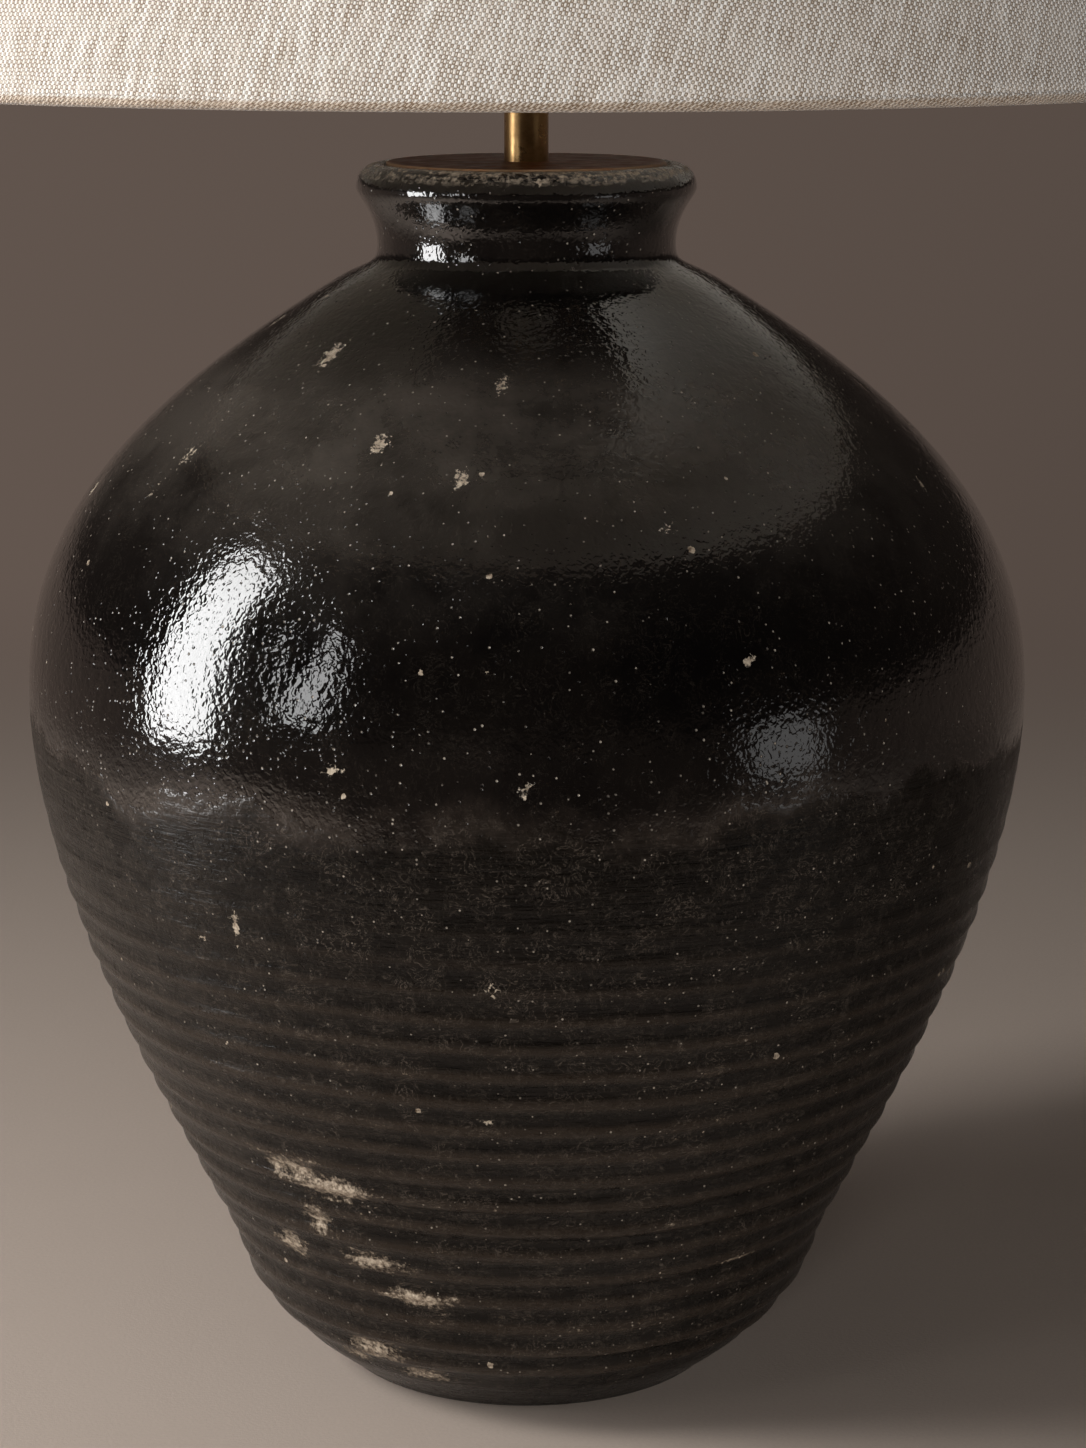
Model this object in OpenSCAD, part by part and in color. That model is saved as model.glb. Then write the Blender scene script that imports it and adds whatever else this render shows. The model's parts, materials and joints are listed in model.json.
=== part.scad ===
// Table lamp made from a tall thrown stoneware jar: glazed body with throwing rings, wooden cap,
// brass stem, turn-key socket, detachable harp and a rolled-edge drum shade of plain-woven linen.
// Millimetres. Origin at the centre of the underside, Z up, front towards -Y.

/* [Jar outline] */
// Height of the jar from foot to lip
jar_h = 450; // [430:1:480]
// Diameter of the foot on the table
foot_d = 145; // [130:1:160]
// Diameter at the heel, where the round foot becomes the wall
heel_d = 223; // [215:1:235]
// Height of the heel above the foot
heel_h = 46; // [42:1:52]
// Lean of the wall at the heel, from the horizontal
heel_lean = 77; // [72:1:84]
// Greatest diameter of the belly
belly_d = 368; // [345:1:390]
// Height of the greatest diameter
belly_h = 259; // [245:1:275]
// Diameter at which the shoulder reaches the neck
shoulder_d = 144; // [136:1:154]
// Drop from the lip to the end of the shoulder
shoulder_drop = 43; // [40:1:48]
// Narrowest diameter of the neck
neck_d = 108.5; // [104:0.5:113]
// Drop from the lip to the narrowest neck
neck_drop = 29; // [27:0.5:31]
// Greatest diameter of the rolled lip
lip_d = 123.5; // [119:0.5:128]
// Height of the rounded top of the lip
lip_roll = 8.5; // [7:0.5:10]
// Diameter of the mouth
mouth_d = 102; // [100:0.5:104]

/* [Jar wall] */
// Thickness of the thrown wall
jar_wall = 9; // [7:0.5:10]
// Thickness of the floor
floor_t = 12; // [10:0.5:16]
// Depth of the hollow turned under the foot
recess_h = 12; // [11:0.5:16]
// Width of the ring that the jar stands on
foot_rim = 12; // [8:0.5:16]
// Number of throwing rings on the lower wall
ring_count = 17; // [12:1:18]
// Spacing of the throwing rings
ring_pitch = 11; // [9:0.5:12]
// Depth of the throwing rings
ring_depth = 1.3; // [0.4:0.1:2]
// Height of the lowest ring
ring_low = 24; // [20:1:30]

/* [Foot fittings] */
// Thickness of the felt under the foot
felt_t = 1.5; // [1:0.5:3]
// Distance of the felt's edge from the edge of the foot
felt_inset = 4; // [2:0.5:7]
// Diameter of the rubber washer against the floor
cushion_d = 40; // [32:1:50]
// Thickness of the rubber washer
cushion_t = 2; // [1.5:0.1:2.5]
// Diameter of the steel washer
washer_d = 36; // [28:1:46]
// Thickness of the steel washer
washer_t = 1.6; // [1:0.1:2]
// Width across the flats of the clamping nut
nut_af = 17; // [15:0.5:19]
// Thickness of the clamping nut
nut_t = 5; // [4:0.5:5.5]
// Outer diameter of the cord bush's flange
bush_flange_d = 16; // [14:0.5:20]
// Thickness of the cord bush's flange
bush_flange_t = 1.6; // [1:0.1:3]
// Diameter of the cord bush's barrel
bush_d = 10; // [9:0.5:12]
// Bore of the cord bush
bush_bore = 6.5; // [5.5:0.1:7.5]
// Depth of the flat ground on the wall under the bush's flange
spot_t = 1.8; // [1.6:0.1:2.4]

/* [Cap and stem] */
// Height of the wooden cap's face above the lip
cap_proud = 0.6; // [0.2:0.1:2]
// Thickness of the cap's tapered rim
cap_rim_t = 14; // [10:0.5:16]
// Depth of the cap's plug below its rim
cap_plug_t = 12; // [8:0.5:16]
// Diameter of the threaded tube
tube_d = 10; // [9:0.1:10.5]
// Bore of the threaded tube
tube_bore = 7; // [6:0.1:7.5]
// Width of the slot where the cord enters the tube inside the jar
slot_w = 6; // [5:0.5:7]
// Height of the slot
slot_h = 22; // [14:1:30]
// Diameter of the brass stem
stem_d = 16; // [14:0.5:19]
// Visible height of the brass stem
stem_h = 34; // [28:1:42]
// Diameter of the check ring on the stem
check_d = 24; // [22:0.5:28]
// Thickness of the check ring
check_t = 3; // [2:0.5:5]

/* [Harp] */
// Diameter of the harp's wire
harp_wire = 4; // [3.4:0.1:4.4]
// Distance between the harp's feet
harp_foot_w = 60; // [58:1:70]
// Greatest width of the harp between wire centres
harp_w = 115; // [104:1:130]
// Height of the harp above the saddle's underside
harp_h = 285; // [278:1:310]
// Length of the straight wire above each foot
harp_leg = 34; // [32:1:40]
// Radius of the long curves at the sides
harp_side_r = 150; // [135:1:165]
// Radius of the bends above the feet
harp_knee_r = 30; // [24:1:36]
// Radius of the crown bend
harp_crown_r = 28; // [22:1:34]
// Thickness of the saddle's strip
saddle_t = 2; // [1.6:0.1:2.4]
// Width of the saddle's strip
saddle_w = 9; // [8:0.5:12]
// Inner radius of the saddle's bends
saddle_bend = 4; // [3:0.5:5]
// Height of the saddle's ears up to their shoulders
ear_h = 11; // [10:0.5:13]
// Length of the tongue above each shoulder
tongue_h = 9; // [7:0.5:11]
// Width of the tongue
tongue_w = 4; // [3.4:0.1:4.2]
// Outer diameter of the sliding sleeves
sleeve_d = 9; // [8:0.1:9]
// Length of the sliding sleeves
sleeve_h = 14; // [12:0.5:16]
// Height of the boss on the harp's crown
crown_h = 6; // [5:0.5:8]
// Diameter of the boss on the harp's crown
crown_d = 10; // [8:0.5:13]
// Diameter of the stud for the finial
stud_d = 6.35; // [6:0.05:6.6]
// Length of the stud above its flange
stud_h = 14; // [12:0.5:16]
// Diameter of the stud's flange
stud_flange_d = 14; // [12:0.5:16]
// Thickness of the stud's flange
stud_flange_t = 1.6; // [1:0.1:3]

/* [Socket] */
// Outer diameter of the brass shell
shell_d = 34; // [33.5:0.1:36]
// Wall of the brass shell and cap
shell_wall = 0.8; // [0.6:0.1:1]
// Top of the brass shell above the socket's underside
shell_top = 64; // [62:0.5:68]
// Diameter of the cap's hub
hub_d = 16; // [15:0.5:18]
// Height of the cap's hub
hub_h = 8; // [6:0.5:9]
// Height of the cap's skirt round the shell
skirt_h = 6; // [4:0.5:7]
// Diameter of the set screw in the hub
set_screw_d = 3; // [2.5:0.1:4]
// Wall of the cardboard liner
liner_wall = 0.6; // [0.4:0.1:0.8]
// Height of the moulded body inside the shell
body_h = 18; // [16:0.5:20]
// Inner diameter of the screw shell that takes the bulb
screw_d = 26.6; // [26.4:0.1:27]
// Wall of the screw shell
screw_wall = 0.5; // [0.4:0.1:0.7]
// Diameter of the centre contact
contact_d = 8; // [6:0.5:10]
// Height of the centre contact
contact_h = 2; // [1.5:0.1:3]
// Diameter of the terminal screws' heads
terminal_d = 6; // [5:0.5:7]
// Height of the terminal screws' heads
terminal_h = 2; // [1.5:0.1:2.5]
// Diameter of the switch shaft
shaft_d = 4; // [3.5:0.1:5]
// Diameter of the turn key
key_d = 13; // [11:0.5:16]
// Length of the turn key
key_h = 10; // [8:0.5:14]
// Number of flutes round the turn key
flute_count = 12; // [8:1:16]
// Diameter of the flutes
flute_d = 2; // [1.4:0.1:2.4]

/* [Bulb] */
// Diameter of the glass
glass_d = 60; // [54:1:64]
// Overall length of the bulb
bulb_h = 108; // [104:1:116]
// Wall of the glass
glass_wall = 0.8; // [0.6:0.1:1.2]
// Height of the bulb's screw base
base_h = 20; // [19:0.5:23]
// Wall of the bulb's screw base
base_wall = 0.5; // [0.4:0.1:0.7]
// Height of the bulb's insulator
insulator_h = 3.5; // [3:0.1:4.5]
// Diameter of the bulb's centre tip
tip_d = 8; // [6:0.5:9]
// Height of the bulb's centre tip
tip_h = 1.5; // [1:0.1:2]

/* [Shade] */
// Lower diameter of the shade
shade_low_d = 520; // [490:1:550]
// Upper diameter of the shade
shade_top_d = 342; // [320:1:380]
// Height between the two wire rings
shade_h = 317; // [290:1:340]
// Thickness of the linen
linen_t = 1; // [0.6:0.1:1.4]
// Thickness of the liner behind the linen
backing_t = 0.5; // [0.3:0.1:0.7]
// Diameter of the two wire rings
ring_wire = 3; // [2.6:0.1:4]
// Width of the lapped seam at the back
seam_w = 12; // [8:0.5:18]
// Thickness that the lap adds outside
seam_t = 0.6; // [0.4:0.1:0.8]
// Drop from the upper ring to the spider's hub
spider_drop = 25; // [20:1:32]
// Diameter of the spider's wire arms
arm_d = 3.2; // [2.6:0.1:4]
// Number of arms
arm_count = 3; // [3:1:5]
// Slope of the arms' outer ends
arm_slope = 60; // [45:1:70]
// Radius of the arms' bends
arm_bend = 12; // [8:0.5:16]
// Diameter of the spider's hub
spider_hub_d = 26; // [24:0.5:32]
// Thickness of the spider's hub
spider_hub_t = 1.6; // [1.2:0.1:2]

/* [Finial] */
// Diameter of the finial's base
finial_base_d = 14; // [12:0.5:16]
// Height of the finial's base
finial_base_h = 6; // [5:0.5:7]
// Diameter of the finial's ball
finial_ball_d = 17; // [15:0.5:20]
// Diameter of the finial's waist
finial_waist_d = 9.4; // [9.2:0.1:11]
// Height of the finial's waist
finial_waist_h = 3; // [2:0.5:5]

/* [Fits] */
// Gap between pieces that move on each other
run_gap = 0.3; // [0.3:0.05:0.45]
// Gap round pieces that are assembled and stay put
fit_gap = 0.2; // [0.1:0.05:0.3]

/* [Hidden] */
$fn = 96;

// Colours of the finishes
glaze_colour = "#1d1815";
wood_colour = "#4a3526";
brass_colour = "#a98b52";
steel_colour = "#8d8f91";
linen_colour = "#cfc4b0";
felt_colour = "#2c2a28";
black_colour = "#191919";
card_colour = "#8a6a45";
liner_colour = "#eeeae0";
glass_colour = "#f4f2ec";

// How strongly each curve of the jar holds its direction at its lower and upper end
foot_pull = [0.09, 0.42];
wall_pull = [0.09, 0.39];
shoulder_pull = [0.3, 0.52];
neck_pull = [0.7, 0.35];
lip_pull = [0.55, 0.14];
// Directions of the jar's outline where it leaves the foot and ends the shoulder
foot_lean = 54;
shoulder_lean = 148.5;

// Heights of the pieces that stack on the jar
jar_z = felt_t;
rim_z = jar_z + jar_h;
cap_z = rim_z + cap_proud;
check_z = cap_z + stem_h;
saddle_z = check_z + check_t;
socket_z = saddle_z + saddle_t;
floor_under_z = jar_z + recess_h;
washer_z = floor_under_z - cushion_t - washer_t;
nut_z = washer_z - nut_t;
tube_end = 1;
slot_z = jar_z + heel_h;
tube_top_z = socket_z + hub_h;

// Points where the jar's curves meet
foot_point = [foot_d / 2, 0];
heel_point = [heel_d / 2, heel_h];
belly_point = [belly_d / 2, belly_h];
shoulder_point = [shoulder_d / 2, jar_h - shoulder_drop];
neck_point = [neck_d / 2, jar_h - neck_drop];
lip_point = [lip_d / 2, jar_h - lip_roll];
mouth_round = 2.5;
crest_r = mouth_d / 2 + mouth_round;
neck_bore_r = neck_d / 2 - jar_wall;
floor_z = recess_h + floor_t;
tube_hole_d = tube_d + 2 * run_gap;

// Cap seat in the mouth
seat_top_z = jar_h - mouth_round;
seat_low_z = seat_top_z - cap_rim_t;

function turn(a) = [cos(a), sin(a)];
function mix(a, b, t) = a + (b - a) * t;
function bezier(c, t) = let (u = 1 - t)
    u * u * u * c[0] + 3 * u * u * t * c[1] + 3 * u * t * t * c[2] + t * t * t * c[3];
// Curve from a to b that leaves a at angle ta and reaches b at angle tb
function curve(a, b, ta, tb, pull) = let (l = norm(b - a))
    [a, a + pull[0] * l * turn(ta), b - pull[1] * l * turn(tb), b];
function arc(centre, rx, ry, a0, a1, n) =
    [for (i = [0:n]) centre + [rx * cos(mix(a0, a1, i / n)), ry * sin(mix(a0, a1, i / n))]];

foot_curve = curve(foot_point, heel_point, foot_lean, heel_lean, foot_pull);
wall_curve = curve(heel_point, belly_point, heel_lean, 90, wall_pull);
shoulder_curve = curve(belly_point, shoulder_point, 90, shoulder_lean, shoulder_pull);
neck_curve = curve(shoulder_point, neck_point, shoulder_lean, 90, neck_pull);
lip_curve = curve(neck_point, lip_point, 90, 90, lip_pull);

// Radius of the smooth jar at a height, found by halving the curve's parameter
function curve_at(z) = z < heel_h ? foot_curve : z < belly_h ? wall_curve : shoulder_curve;
function param_at(c, z, lo = 0, hi = 1, steps = 20) = let (m = (lo + hi) / 2)
    steps == 0 ? m : bezier(c, m).y < z ? param_at(c, z, m, hi, steps - 1)
                                        : param_at(c, z, lo, m, steps - 1);
function jar_r(z) = let (c = curve_at(z)) bezier(c, param_at(c, z)).x;
// Outward normal of the smooth jar at a height
function jar_normal(z) = let (h = 0.5, slope = (jar_r(z + h) - jar_r(z - h)) / (2 * h))
    [1, -slope] / norm([1, -slope]);

// Throwing rings: round grooves with sharp ridges, fading out towards the belly
ring_top = ring_low + ring_count * ring_pitch;
ring_full = ring_low + 0.6 * (ring_top - ring_low);
ring_steps = 4;
function ring_fade(z) = z < ring_full ? 1 : max(0, (ring_top - z) / (ring_top - ring_full));
function ring_cut(z) = z < ring_low || z > ring_top ? 0
    : ring_depth * ring_fade(z) * abs(sin(180 * (z - ring_low) / ring_pitch));
function jar_outer(z) = [jar_r(z), z] - ring_cut(z) * jar_normal(z);
function jar_inner(z) = [jar_r(z), z] - jar_wall * jar_normal(z);

// Heights at which the outline has a point
outer_step = 6;
inner_step = 10;
shoulder_z = shoulder_point.y;
foot_stations = [for (i = [1:8]) ring_low * i / 9];
ring_stations = [for (i = [0:ring_count * ring_steps]) ring_low + i * ring_pitch / ring_steps];
upper_count = ceil((shoulder_z - ring_top) / outer_step);
upper_stations = [for (i = [1:upper_count - 1]) mix(ring_top, shoulder_z, i / upper_count)];
inner_count = floor((shoulder_z - floor_z) / inner_step);
inner_stations = [for (i = [0:inner_count]) mix(shoulder_z - 1, floor_z, i / inner_count)];
inner_wall = [for (z = inner_stations) if (jar_inner(z).y > floor_z + 2) jar_inner(z)];
inner_floor_r = inner_wall[len(inner_wall) - 1].x - 3;

// Right angles of the cord bush to the wall at the heel
bush_hole_d = bush_d + 2 * fit_gap;
spot_d = bush_flange_d + 2;
bush_h = jar_wall + 2;
module at_bush() {
    translate([0, heel_point.x, jar_z + heel_point.y]) rotate([heel_lean - 180, 0, 0]) children();
}

// Harp geometry above the saddle, x outwards and y up
harp_foot_x = harp_foot_w / 2;
leg_low = ear_h + tongue_h;
leg_top = leg_low + harp_leg;
knee_angle = acos(1 - (harp_w / 2 - harp_foot_x) / (harp_side_r + harp_knee_r));
side_low = leg_top + (harp_side_r + harp_knee_r) * sin(knee_angle);
crown_angle = acos((harp_side_r - harp_w / 2) / (harp_side_r - harp_crown_r));
crown_rise = (harp_side_r - harp_crown_r) * sin(crown_angle) + harp_crown_r;
crown_z = harp_h - crown_h / 2;
side_top = crown_z - crown_rise;
harp_top_z = saddle_z + harp_h;
sleeve_bore = norm([saddle_t, tongue_w]) + 2 * run_gap;

// Shade hung from the harp
hub_low_z = harp_top_z + stud_flange_t + run_gap;
hub_top_z = hub_low_z + spider_hub_t;
arm_z = hub_top_z - arm_d / 2 - fit_gap / 2;
roll_r = ring_wire / 2 + fit_gap / 2 + linen_t;
low_ring = [shade_low_d / 2 - roll_r, arm_z + spider_drop - shade_h];
top_ring = [shade_top_d / 2 - roll_r, arm_z + spider_drop];
slant = norm(top_ring - low_ring);
slant_dir = (top_ring - low_ring) / slant;
slant_out = [slant_dir.y, -slant_dir.x];
function on_slant(along, out) = low_ring + along * slant_dir + out * slant_out;
liner_end = roll_r + fit_gap;
seam_end = 8;

// Socket stack above the saddle
dome_r = shell_d / 2 + fit_gap + shell_wall - hub_d / 2;
skirt_z = hub_h + dome_r;
skirt_r = hub_d / 2 + dome_r;
shell_low = skirt_z + fit_gap;
liner_r = shell_d / 2 - shell_wall - fit_gap;
body_r = liner_r - liner_wall - fit_gap;
body_low = shell_low + 1;
body_top = body_low + body_h;
shaft_z = body_low + body_h / 2;
key_back = skirt_r + 2 * run_gap;
shaft_in = body_r / 2;
screw_r = screw_d / 2;
screw_top = shell_top - 1;
shaft_hole_d = shaft_d + 2 * run_gap;
set_screw_h = 5;

// Bulb screwed home on the centre contact
bulb_z = socket_z + body_top + contact_h + run_gap;
insulator_z = tip_h;
base_z = insulator_z + insulator_h + run_gap;
base_r = screw_r - run_gap - 0.2;
glass_r = glass_d / 2;
glass_z = bulb_h - glass_r;
glass_neck_r = base_r - base_wall - fit_gap / 2;
glass_skirt = 5;
glass_join = -32;

// Finial screwed down on the spider's hub
finial_z = hub_top_z + run_gap;
finial_bore = stud_d + 2 * run_gap;
finial_step = 1;
ball_z = finial_base_h + run_gap + finial_waist_h + 0.42 * finial_ball_d;
stud_reach = stud_h - spider_hub_t - 2 * run_gap;

module tube(h, outer, inner) {
    difference() {
        cylinder(h = h, d = outer);
        translate([0, 0, -1]) cylinder(h = h + 2, d = inner);
    }
}

// Washer with rounded outer edges
module round_washer(h, outer, inner) {
    rotate_extrude() polygon(concat(
        [[inner / 2, 0]],
        arc([outer / 2 - h / 2, h / 2], h / 2, h / 2, -90, 90, 8),
        [[inner / 2, h]]
    ));
}

module felt_pad() {
    color(felt_colour) cylinder(h = felt_t, d = foot_d - 2 * felt_inset);
}

module jar() {
    section = concat(
        [[foot_d / 2 - foot_rim, 0], foot_point],
        [for (z = foot_stations) jar_outer(z)],
        [for (z = ring_stations) jar_outer(z)],
        [for (z = upper_stations) jar_outer(z)],
        [for (i = [0:8]) bezier(neck_curve, i / 8)],
        [for (i = [1:9]) bezier(lip_curve, i / 10)],
        arc([crest_r, lip_point.y], lip_d / 2 - crest_r, lip_roll, 0, 90, 8),
        arc([crest_r, seat_top_z], mouth_round, mouth_round, 100, 180, 5),
        [[neck_bore_r, seat_low_z], [neck_bore_r, inner_wall[0].y]],
        inner_wall,
        [[inner_floor_r, floor_z], [tube_hole_d / 2, floor_z], [tube_hole_d / 2, recess_h]],
        [[foot_d / 2 - foot_rim - 1, recess_h]]
    );
    color(glaze_colour) difference() {
        translate([0, 0, jar_z]) rotate_extrude($fn = 160) polygon(section);
        at_bush() {
            translate([0, 0, -2 * jar_wall]) cylinder(h = 4 * jar_wall, d = bush_hole_d);
            translate([0, 0, -spot_t]) cylinder(h = 2 * jar_wall, d = spot_d);
        }
    }
}

module floor_cushion() {
    color(black_colour) translate([0, 0, floor_under_z - cushion_t])
        tube(cushion_t, cushion_d, tube_hole_d);
}

module floor_washer() {
    color(steel_colour) translate([0, 0, washer_z]) tube(washer_t, washer_d, tube_hole_d);
}

module floor_nut() {
    color(brass_colour) translate([0, 0, nut_z]) difference() {
        cylinder(h = nut_t, d = nut_af / cos(30), $fn = 6);
        translate([0, 0, -1]) cylinder(h = nut_t + 2, d = tube_d + fit_gap);
    }
}

module threaded_tube() {
    low = nut_z - tube_end;
    color(steel_colour) difference() {
        translate([0, 0, low]) tube(tube_top_z - low, tube_d, tube_bore);
        translate([-slot_w / 2, 0, slot_z]) cube([slot_w, tube_d, slot_h]);
    }
}

module cord_bush() {
    color(black_colour) at_bush() translate([0, 0, -spot_t]) difference() {
        union() {
            round_washer(bush_flange_t, bush_flange_d, bush_bore);
            translate([0, 0, -bush_h]) cylinder(h = bush_h + bush_flange_t / 2, d = bush_d);
        }
        translate([0, 0, -bush_h - 1]) cylinder(h = bush_h + bush_flange_t + 2, d = bush_bore);
    }
}

// Turned cap: a tapered rim in the flared mouth and a plug in the neck
module wood_cap() {
    edge = 1.2;
    top_r = mouth_d / 2 - fit_gap;
    plug_r = neck_bore_r - fit_gap;
    rim_low = jar_z + seat_low_z;
    color(wood_colour) rotate_extrude() polygon(concat(
        [[tube_hole_d / 2, cap_z], [tube_hole_d / 2, rim_low - cap_plug_t]],
        [[plug_r - edge, rim_low - cap_plug_t], [plug_r, rim_low - cap_plug_t + edge]],
        [[plug_r, rim_low], [top_r, jar_z + seat_top_z]],
        arc([top_r - edge, cap_z - edge], edge, edge, 0, 90, 5)
    ));
}

module brass_stem() {
    color(brass_colour) translate([0, 0, cap_z]) tube(stem_h, stem_d, tube_hole_d);
}

module check_ring() {
    color(brass_colour) translate([0, 0, check_z]) round_washer(check_t, check_d, tube_hole_d);
}

// Half of the saddle: strip, bend, ear and tongue
module saddle_side() {
    bend_x = harp_foot_x - saddle_t / 2 - saddle_bend;
    bend_z = saddle_t + saddle_bend;
    translate([0, -saddle_w / 2, 0]) cube([bend_x, saddle_w, saddle_t]);
    translate([bend_x, saddle_w / 2, bend_z]) rotate([90, 0, 0]) rotate([0, 0, -90])
        linear_extrude(saddle_w) intersection() {
            difference() {
                circle(r = saddle_bend + saddle_t);
                circle(r = saddle_bend);
            }
            square(saddle_bend + saddle_t);
        }
    translate([harp_foot_x - saddle_t / 2, -saddle_w / 2, bend_z])
        cube([saddle_t, saddle_w, ear_h - bend_z]);
    translate([harp_foot_x - saddle_t / 2, -tongue_w / 2, bend_z])
        cube([saddle_t, tongue_w, leg_low - bend_z]);
}

module harp_saddle() {
    color(brass_colour) translate([0, 0, saddle_z]) difference() {
        union() {
            cylinder(h = saddle_t, d = check_d - 2);
            saddle_side();
            mirror([1, 0, 0]) saddle_side();
        }
        translate([0, 0, -1]) cylinder(h = saddle_t + 2, d = tube_hole_d);
    }
}

// Round wire bent in the X-Z plane along stations of [x, z, heading]
module bent_wire(path, d, sides = 12) {
    rings = len(path);
    points = [for (s = path, k = [0:sides - 1]) let (a = 360 * k / sides, r = d / 2)
        [s.x - r * cos(a) * sin(s.z), r * sin(a), s.y + r * cos(a) * cos(s.z)]];
    walls = [for (i = [0:rings - 2], k = [0:sides - 1])
        let (a = i * sides + k, b = i * sides + (k + 1) % sides)
        each [[a, b, b + sides], [a, b + sides, a + sides]]];
    low_cap = [for (k = [1:sides - 2]) [0, k + 1, k]];
    top_cap = [for (k = [1:sides - 2]) (rings - 1) * sides * [1, 1, 1] + [0, k, k + 1]];
    polyhedron(points, concat(walls, low_cap, top_cap));
}

// Stations along an arc that is walked to the left, or to the right when a1 is less than a0
function bend(centre, r, a0, a1, n) = [for (i = [0:n]) let (a = mix(a0, a1, i / n))
    [centre.x + r * cos(a), centre.y + r * sin(a), a + (a1 > a0 ? 90 : -90)]];

module harp_bow() {
    side_x = harp_w / 2 - harp_side_r;
    half = concat(
        [[harp_foot_x, leg_low, 90]],
        bend([harp_foot_x + harp_knee_r, leg_top], harp_knee_r, 180, 180 - knee_angle, 5),
        [for (i = [1:5]) bend([side_x, side_low], harp_side_r, -knee_angle, 0, 5)[i]],
        bend([side_x, side_top], harp_side_r, 0, crown_angle, 6),
        [for (i = [1:6]) bend([0, crown_z - harp_crown_r], harp_crown_r, crown_angle, 90, 6)[i]]
    );
    other = [for (i = [len(half) - 2:-1:0]) [-half[i].x, half[i].y, -half[i].z]];
    color(brass_colour) translate([0, 0, saddle_z]) {
        bent_wire(concat(half, other), harp_wire);
        translate([0, 0, harp_h - crown_h]) cylinder(h = crown_h, d = crown_d);
    }
}

module harp_stud() {
    color(brass_colour) translate([0, 0, harp_top_z]) {
        cylinder(h = stud_flange_t, d = stud_flange_d);
        cylinder(h = stud_flange_t + stud_h, d = stud_d);
    }
}

module harp_sleeve(side) {
    color(brass_colour) translate([side * harp_foot_x, 0, saddle_z + ear_h + run_gap])
        tube(sleeve_h, sleeve_d, sleeve_bore);
}

module harp_sleeve_left() { harp_sleeve(-1); }
module harp_sleeve_right() { harp_sleeve(1); }

// Domed cap with a hub on the threaded tube and a skirt that holds the shell
module socket_cap() {
    color(brass_colour) translate([0, 0, socket_z]) difference() {
        rotate_extrude() polygon(concat(
            [[tube_hole_d / 2, 0], [hub_d / 2, 0], [hub_d / 2, hub_h]],
            arc([hub_d / 2, skirt_z], dome_r, dome_r, -80, 0, 8),
            [[skirt_r, skirt_z + skirt_h], [skirt_r - shell_wall, skirt_z + skirt_h]],
            arc([hub_d / 2, skirt_z], dome_r - shell_wall, dome_r - shell_wall, 0, -90, 8),
            [[tube_hole_d / 2, hub_h + shell_wall]]
        ));
        translate([0, 0, hub_h / 2]) rotate([-90, 0, 0])
            cylinder(h = hub_d, d = set_screw_d + fit_gap, $fn = 32);
    }
}

module socket_set_screw() {
    color(steel_colour) translate([0, tube_d / 2, socket_z + hub_h / 2]) rotate([-90, 0, 0])
        difference() {
            cylinder(h = set_screw_h, d = set_screw_d, $fn = 32);
            translate([-set_screw_d, -0.3, set_screw_h - 1]) cube([2 * set_screw_d, 0.6, 2]);
        }
}

// Hole for the switch shaft, through the front wall
module shaft_hole() {
    translate([0, 0, shaft_z]) rotate([90, 0, 0]) cylinder(h = shell_d, d = shaft_hole_d, $fn = 48);
}

module socket_shell() {
    color(brass_colour) translate([0, 0, socket_z]) difference() {
        translate([0, 0, shell_low]) tube(shell_top - shell_low, shell_d, shell_d - 2 * shell_wall);
        shaft_hole();
    }
}

module socket_liner() {
    color(card_colour) translate([0, 0, socket_z]) difference() {
        translate([0, 0, shell_low]) tube(screw_top - shell_low, 2 * liner_r, 2 * (liner_r - liner_wall));
        shaft_hole();
    }
}

// Moulded body with a notch at each side for a terminal screw
module socket_body() {
    notch = terminal_h + 0.5;
    color(black_colour) translate([0, 0, socket_z]) difference() {
        translate([0, 0, body_low]) cylinder(h = body_h, r = body_r);
        translate([0, 0, shaft_z]) rotate([90, 0, 0])
            cylinder(h = shell_d, d = shaft_hole_d, $fn = 48);
        translate([0, 0, shaft_z]) rotate([-90, 0, 0])
            cylinder(h = shaft_in + run_gap, d = shaft_hole_d, $fn = 48);
        for (side = [0, 180]) rotate([0, 0, side])
            translate([body_r - notch, -terminal_d, shaft_z - terminal_d])
                cube([2 * notch, 2 * terminal_d, 2 * terminal_d]);
    }
}

module screw_shell() {
    color(brass_colour) translate([0, 0, socket_z + body_top]) difference() {
        cylinder(h = screw_top - body_top, r = screw_r + screw_wall);
        translate([0, 0, screw_wall]) cylinder(h = screw_top, r = screw_r);
        translate([0, 0, -1]) cylinder(h = screw_wall + 2, d = contact_d + 4);
    }
}

module centre_contact() {
    color(brass_colour) translate([0, 0, socket_z + body_top]) {
        cylinder(h = contact_h / 2, d = contact_d);
        cylinder(h = contact_h, d = 0.6 * contact_d);
    }
}

module terminal_screw(side) {
    seat = body_r - terminal_h - 0.5;
    color(brass_colour) rotate([0, 0, side]) translate([seat, 0, socket_z + shaft_z])
        rotate([0, 90, 0]) difference() {
            cylinder(h = terminal_h, d = terminal_d, $fn = 48);
            translate([-terminal_d, -0.4, terminal_h - 0.8]) cube([2 * terminal_d, 0.8, 2]);
        }
}

module terminal_screw_left() { terminal_screw(180); }
module terminal_screw_right() { terminal_screw(0); }

module switch_shaft() {
    color(steel_colour) translate([0, shaft_in, socket_z + shaft_z]) rotate([90, 0, 0])
        cylinder(h = shaft_in + key_back + key_h / 2, d = shaft_d, $fn = 48);
}

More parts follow.
